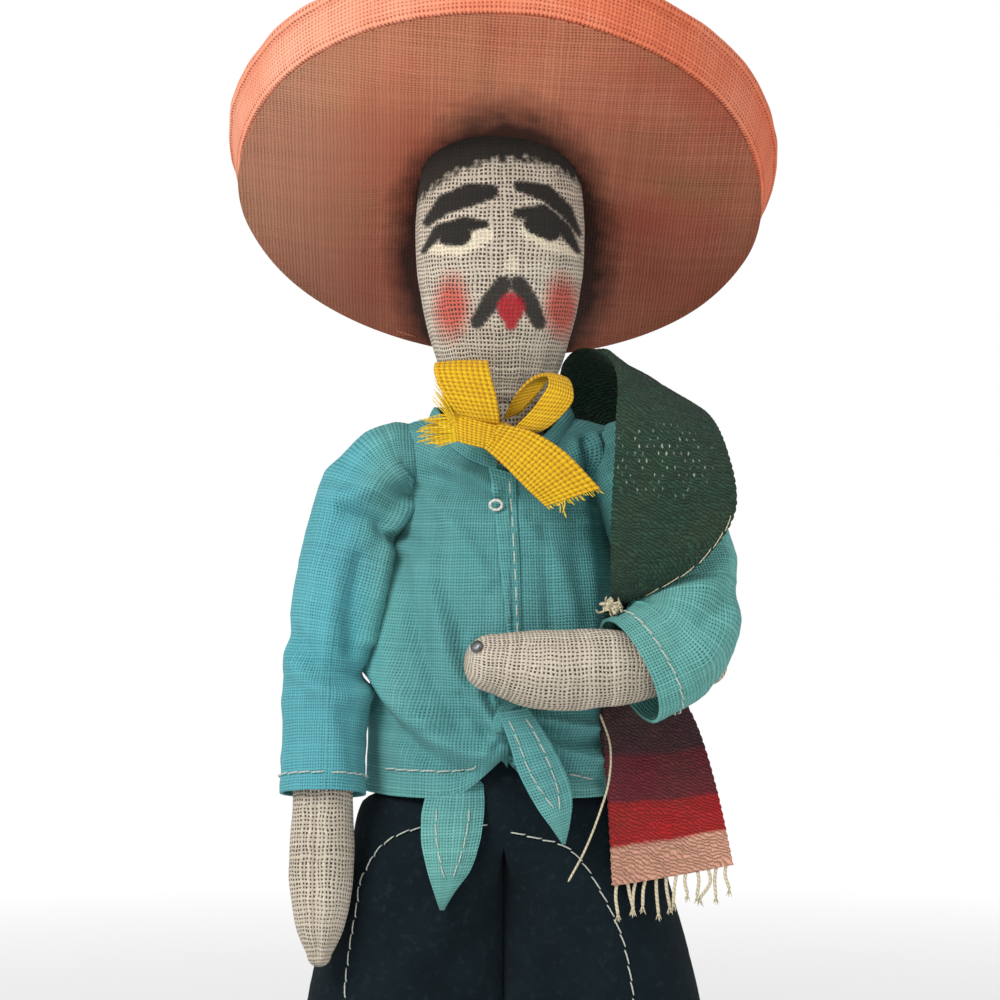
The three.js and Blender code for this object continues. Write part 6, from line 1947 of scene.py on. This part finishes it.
# %% Fringes
def fringe_lines(row, way, count, seed, length):
    """Warp ends that hang from a row of the strip, each a little bent, with a fanned tip."""
    way = unit(way)
    strands, fans = [], []
    for k in range(count):
        place = (k + 0.5) / count * (len(row) - 1)
        start = row[int(place)] - way * 0.7
        stray = astray(k * 2.1, seed, (0.7, 4.3, 8.9))
        long = length * (0.82 + 0.34 * stray[2] + 0.1 * math.sin(5 * k + 1))
        tip = start + way * long + spot(stray[0] * 2.2, stray[1] * 0.9, 0)
        middle = start + way * long * 0.5 + spot(stray[1] * 1.3, stray[0] * 0.5, 0)
        strands.append(smooth_line([start, middle, tip], 14))
        for j in range(5):
            flare = spot(math.cos(j * 2.4 + k) * 0.5, math.sin(j * 2.4 + k) * 0.3, -0.95 - 0.12 * j)
            fans.append(smooth_line([tip - way * 0.3, tip + flare * 0.5, tip + flare], 4))
    return strands, fans


front_ends = fringe_lines(plain[0], (0, -0.12, -1), 12, 3.0, 5.8)
back_ends = fringe_lines(plain[-1], (0, 0.02, -1), 16, 7.0, 8.0)
for side, (strands, fans) in (("front", front_ends), ("back", back_ends)):
    fringe = threads(f"{side}_fringe", strands, cream_thread, 0.27, sides=8, taper=1.0)
    wear(fringe, "torso", [f"sarape_fringe_{side}"])
    wear(threads(f"{side}_fringe_tips", fans, cream_thread, 0.09, 5), "torso")

# %% Tuft over the stitch and the loose thread
tuft_lines = []
for k in range(60):
    stray = astray(k * 1.9, 6.0, (0.2, 3.7, 7.9))
    way = unit(spot(math.cos(k * 1.57 + 0.4) * 1.3, -0.35, math.sin(k * 1.57 + 0.4) * 0.8) + stray * 0.9)
    start = spot(17.2, -18.9, 142.1) + stray * 0.5
    reach = 0.8 + 1.2 * abs(stray[0])
    bend, tip = start + way * reach * 0.7 + stray * 0.6, start + way * reach * 1.2
    tuft_lines.append(smooth_line([start, bend, tip, start + way * reach + np.roll(stray, 1) * 1.6], 9))
wear(threads("stitch_tuft", tuft_lines, cream_thread, 0.16, 6), "torso", ["sarape_tuft"])
LOOSE = [
    (600, 714, -12.6), (610, 745, -13.2), (609, 780, -13.9), (600, 812, -14.6), (585, 850, -14.8),
    (568, 882, -14.9),
]
loose_line = smooth_line([pixel_point(*place) for place in LOOSE], 60)
wear(threads("loose_thread", [loose_line], cream_thread, 0.17, 6), "torso")

# %% [markdown]
# ## Floor and light
#
# The photograph has a white ground with a soft grey shade low down. A pale floor fades to white
# away from the doll. One large soft light stands high at the front left, a weaker one fills from
# the right, and the white surroundings do the rest.

# %% Floor
FLOOR_REACH = 6
floor_material, floor_shader, start = new_finish("pale_floor", 0.9)
x, y, _ = parts_of(start.node("ShaderNodeNewGeometry", {}))
far = (x * x + y * y).root()
speck = start.node("ShaderNodeTexNoise", {}, {"Scale": 180.0, "Detail": 3.0})
floor_shader.inputs["Specular IOR Level"].default_value = 0.1
plug(floor_shader, "Base Color", speck.mix(colour("F2F2F1"), colour("F8F8F8")))
white = start.node("ShaderNodeEmission", {}, {"Color": (1, 1, 1, 1), "Strength": 1.0})
output = floor_material.node_tree.nodes["Material Output"]
surface = Wire(start.tree, floor_shader.outputs[0])
faded_floor = start.node("ShaderNodeMixShader", {}, {0: soft_step(far, 0.3, 0.7), 1: surface, 2: white})
start.tree.links.new(faded_floor.socket, output.inputs["Surface"])
floor_mesh = bpy.data.meshes.new("floor")
floor_corners = [(-FLOOR_REACH, -FLOOR_REACH, 0), (FLOOR_REACH, -FLOOR_REACH, 0),
                 (FLOOR_REACH, FLOOR_REACH, 0), (-FLOOR_REACH, FLOOR_REACH, 0)]
floor_mesh.from_pydata(floor_corners, [], [(0, 1, 2, 3)])
floor_mesh.materials.append(floor_material)
floor = bpy.data.objects.new("floor", floor_mesh)
put_in_scene(floor)
floor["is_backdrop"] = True

# %% World
world = bpy.data.worlds.new("white_studio")
bpy.context.scene.world = world
world.use_nodes = True
world.node_tree.nodes.clear()
sky = Wire(world.node_tree)
path = sky.node("ShaderNodeLightPath").socket.node.outputs
rays = ("Camera", "Glossy", "Transmission")
straight, glossy, through = [Wire(sky.tree, path[f"Is {ray} Ray"]) for ray in rays]
seen = straight.larger(glossy).larger(through)
backdrop = sky.node("ShaderNodeBackground", {}, {"Color": (1, 1, 1, 1), "Strength": 1.0})
light = sky.node("ShaderNodeBackground", {}, {"Color": (1, 1, 1, 1), "Strength": 0.46})
both = sky.node("ShaderNodeMixShader", {}, {0: seen, 1: light, 2: backdrop})
world_output = world.node_tree.nodes.new("ShaderNodeOutputWorld")
world.node_tree.links.new(both.socket, world_output.inputs["Surface"])


# %% Lights
def soft_light(name, place, power, size):
    """A square soft light that points at the doll's chest."""
    lamp = bpy.data.objects.new(name, bpy.data.lights.new(name, "AREA"))
    lamp.data.energy, lamp.data.size = power, size
    lamp.location = to_frame(place)
    aim = Vector(to_frame([0, 0, 150])) - lamp.location
    lamp.rotation_euler = aim.to_track_quat("-Z", "Y").to_euler()
    put_in_scene(lamp)


soft_light("window", [-480, -500, 640], 5.3, 0.34)
soft_light("fill", [620, -420, 260], 0.9, 0.6)
soft_light("top", [60, 160, 900], 1.6, 0.5)

# %% [markdown]
# ## Size and finish
#
# The finished doll should fill the frame's own box and hardly more, so both boxes are printed.

# %% Finish
new_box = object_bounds()
for name, box in (("frame", cad_box), ("finished", new_box)):
    print(name, [[round(value * 1000, 2) for value in corner] for corner in box])
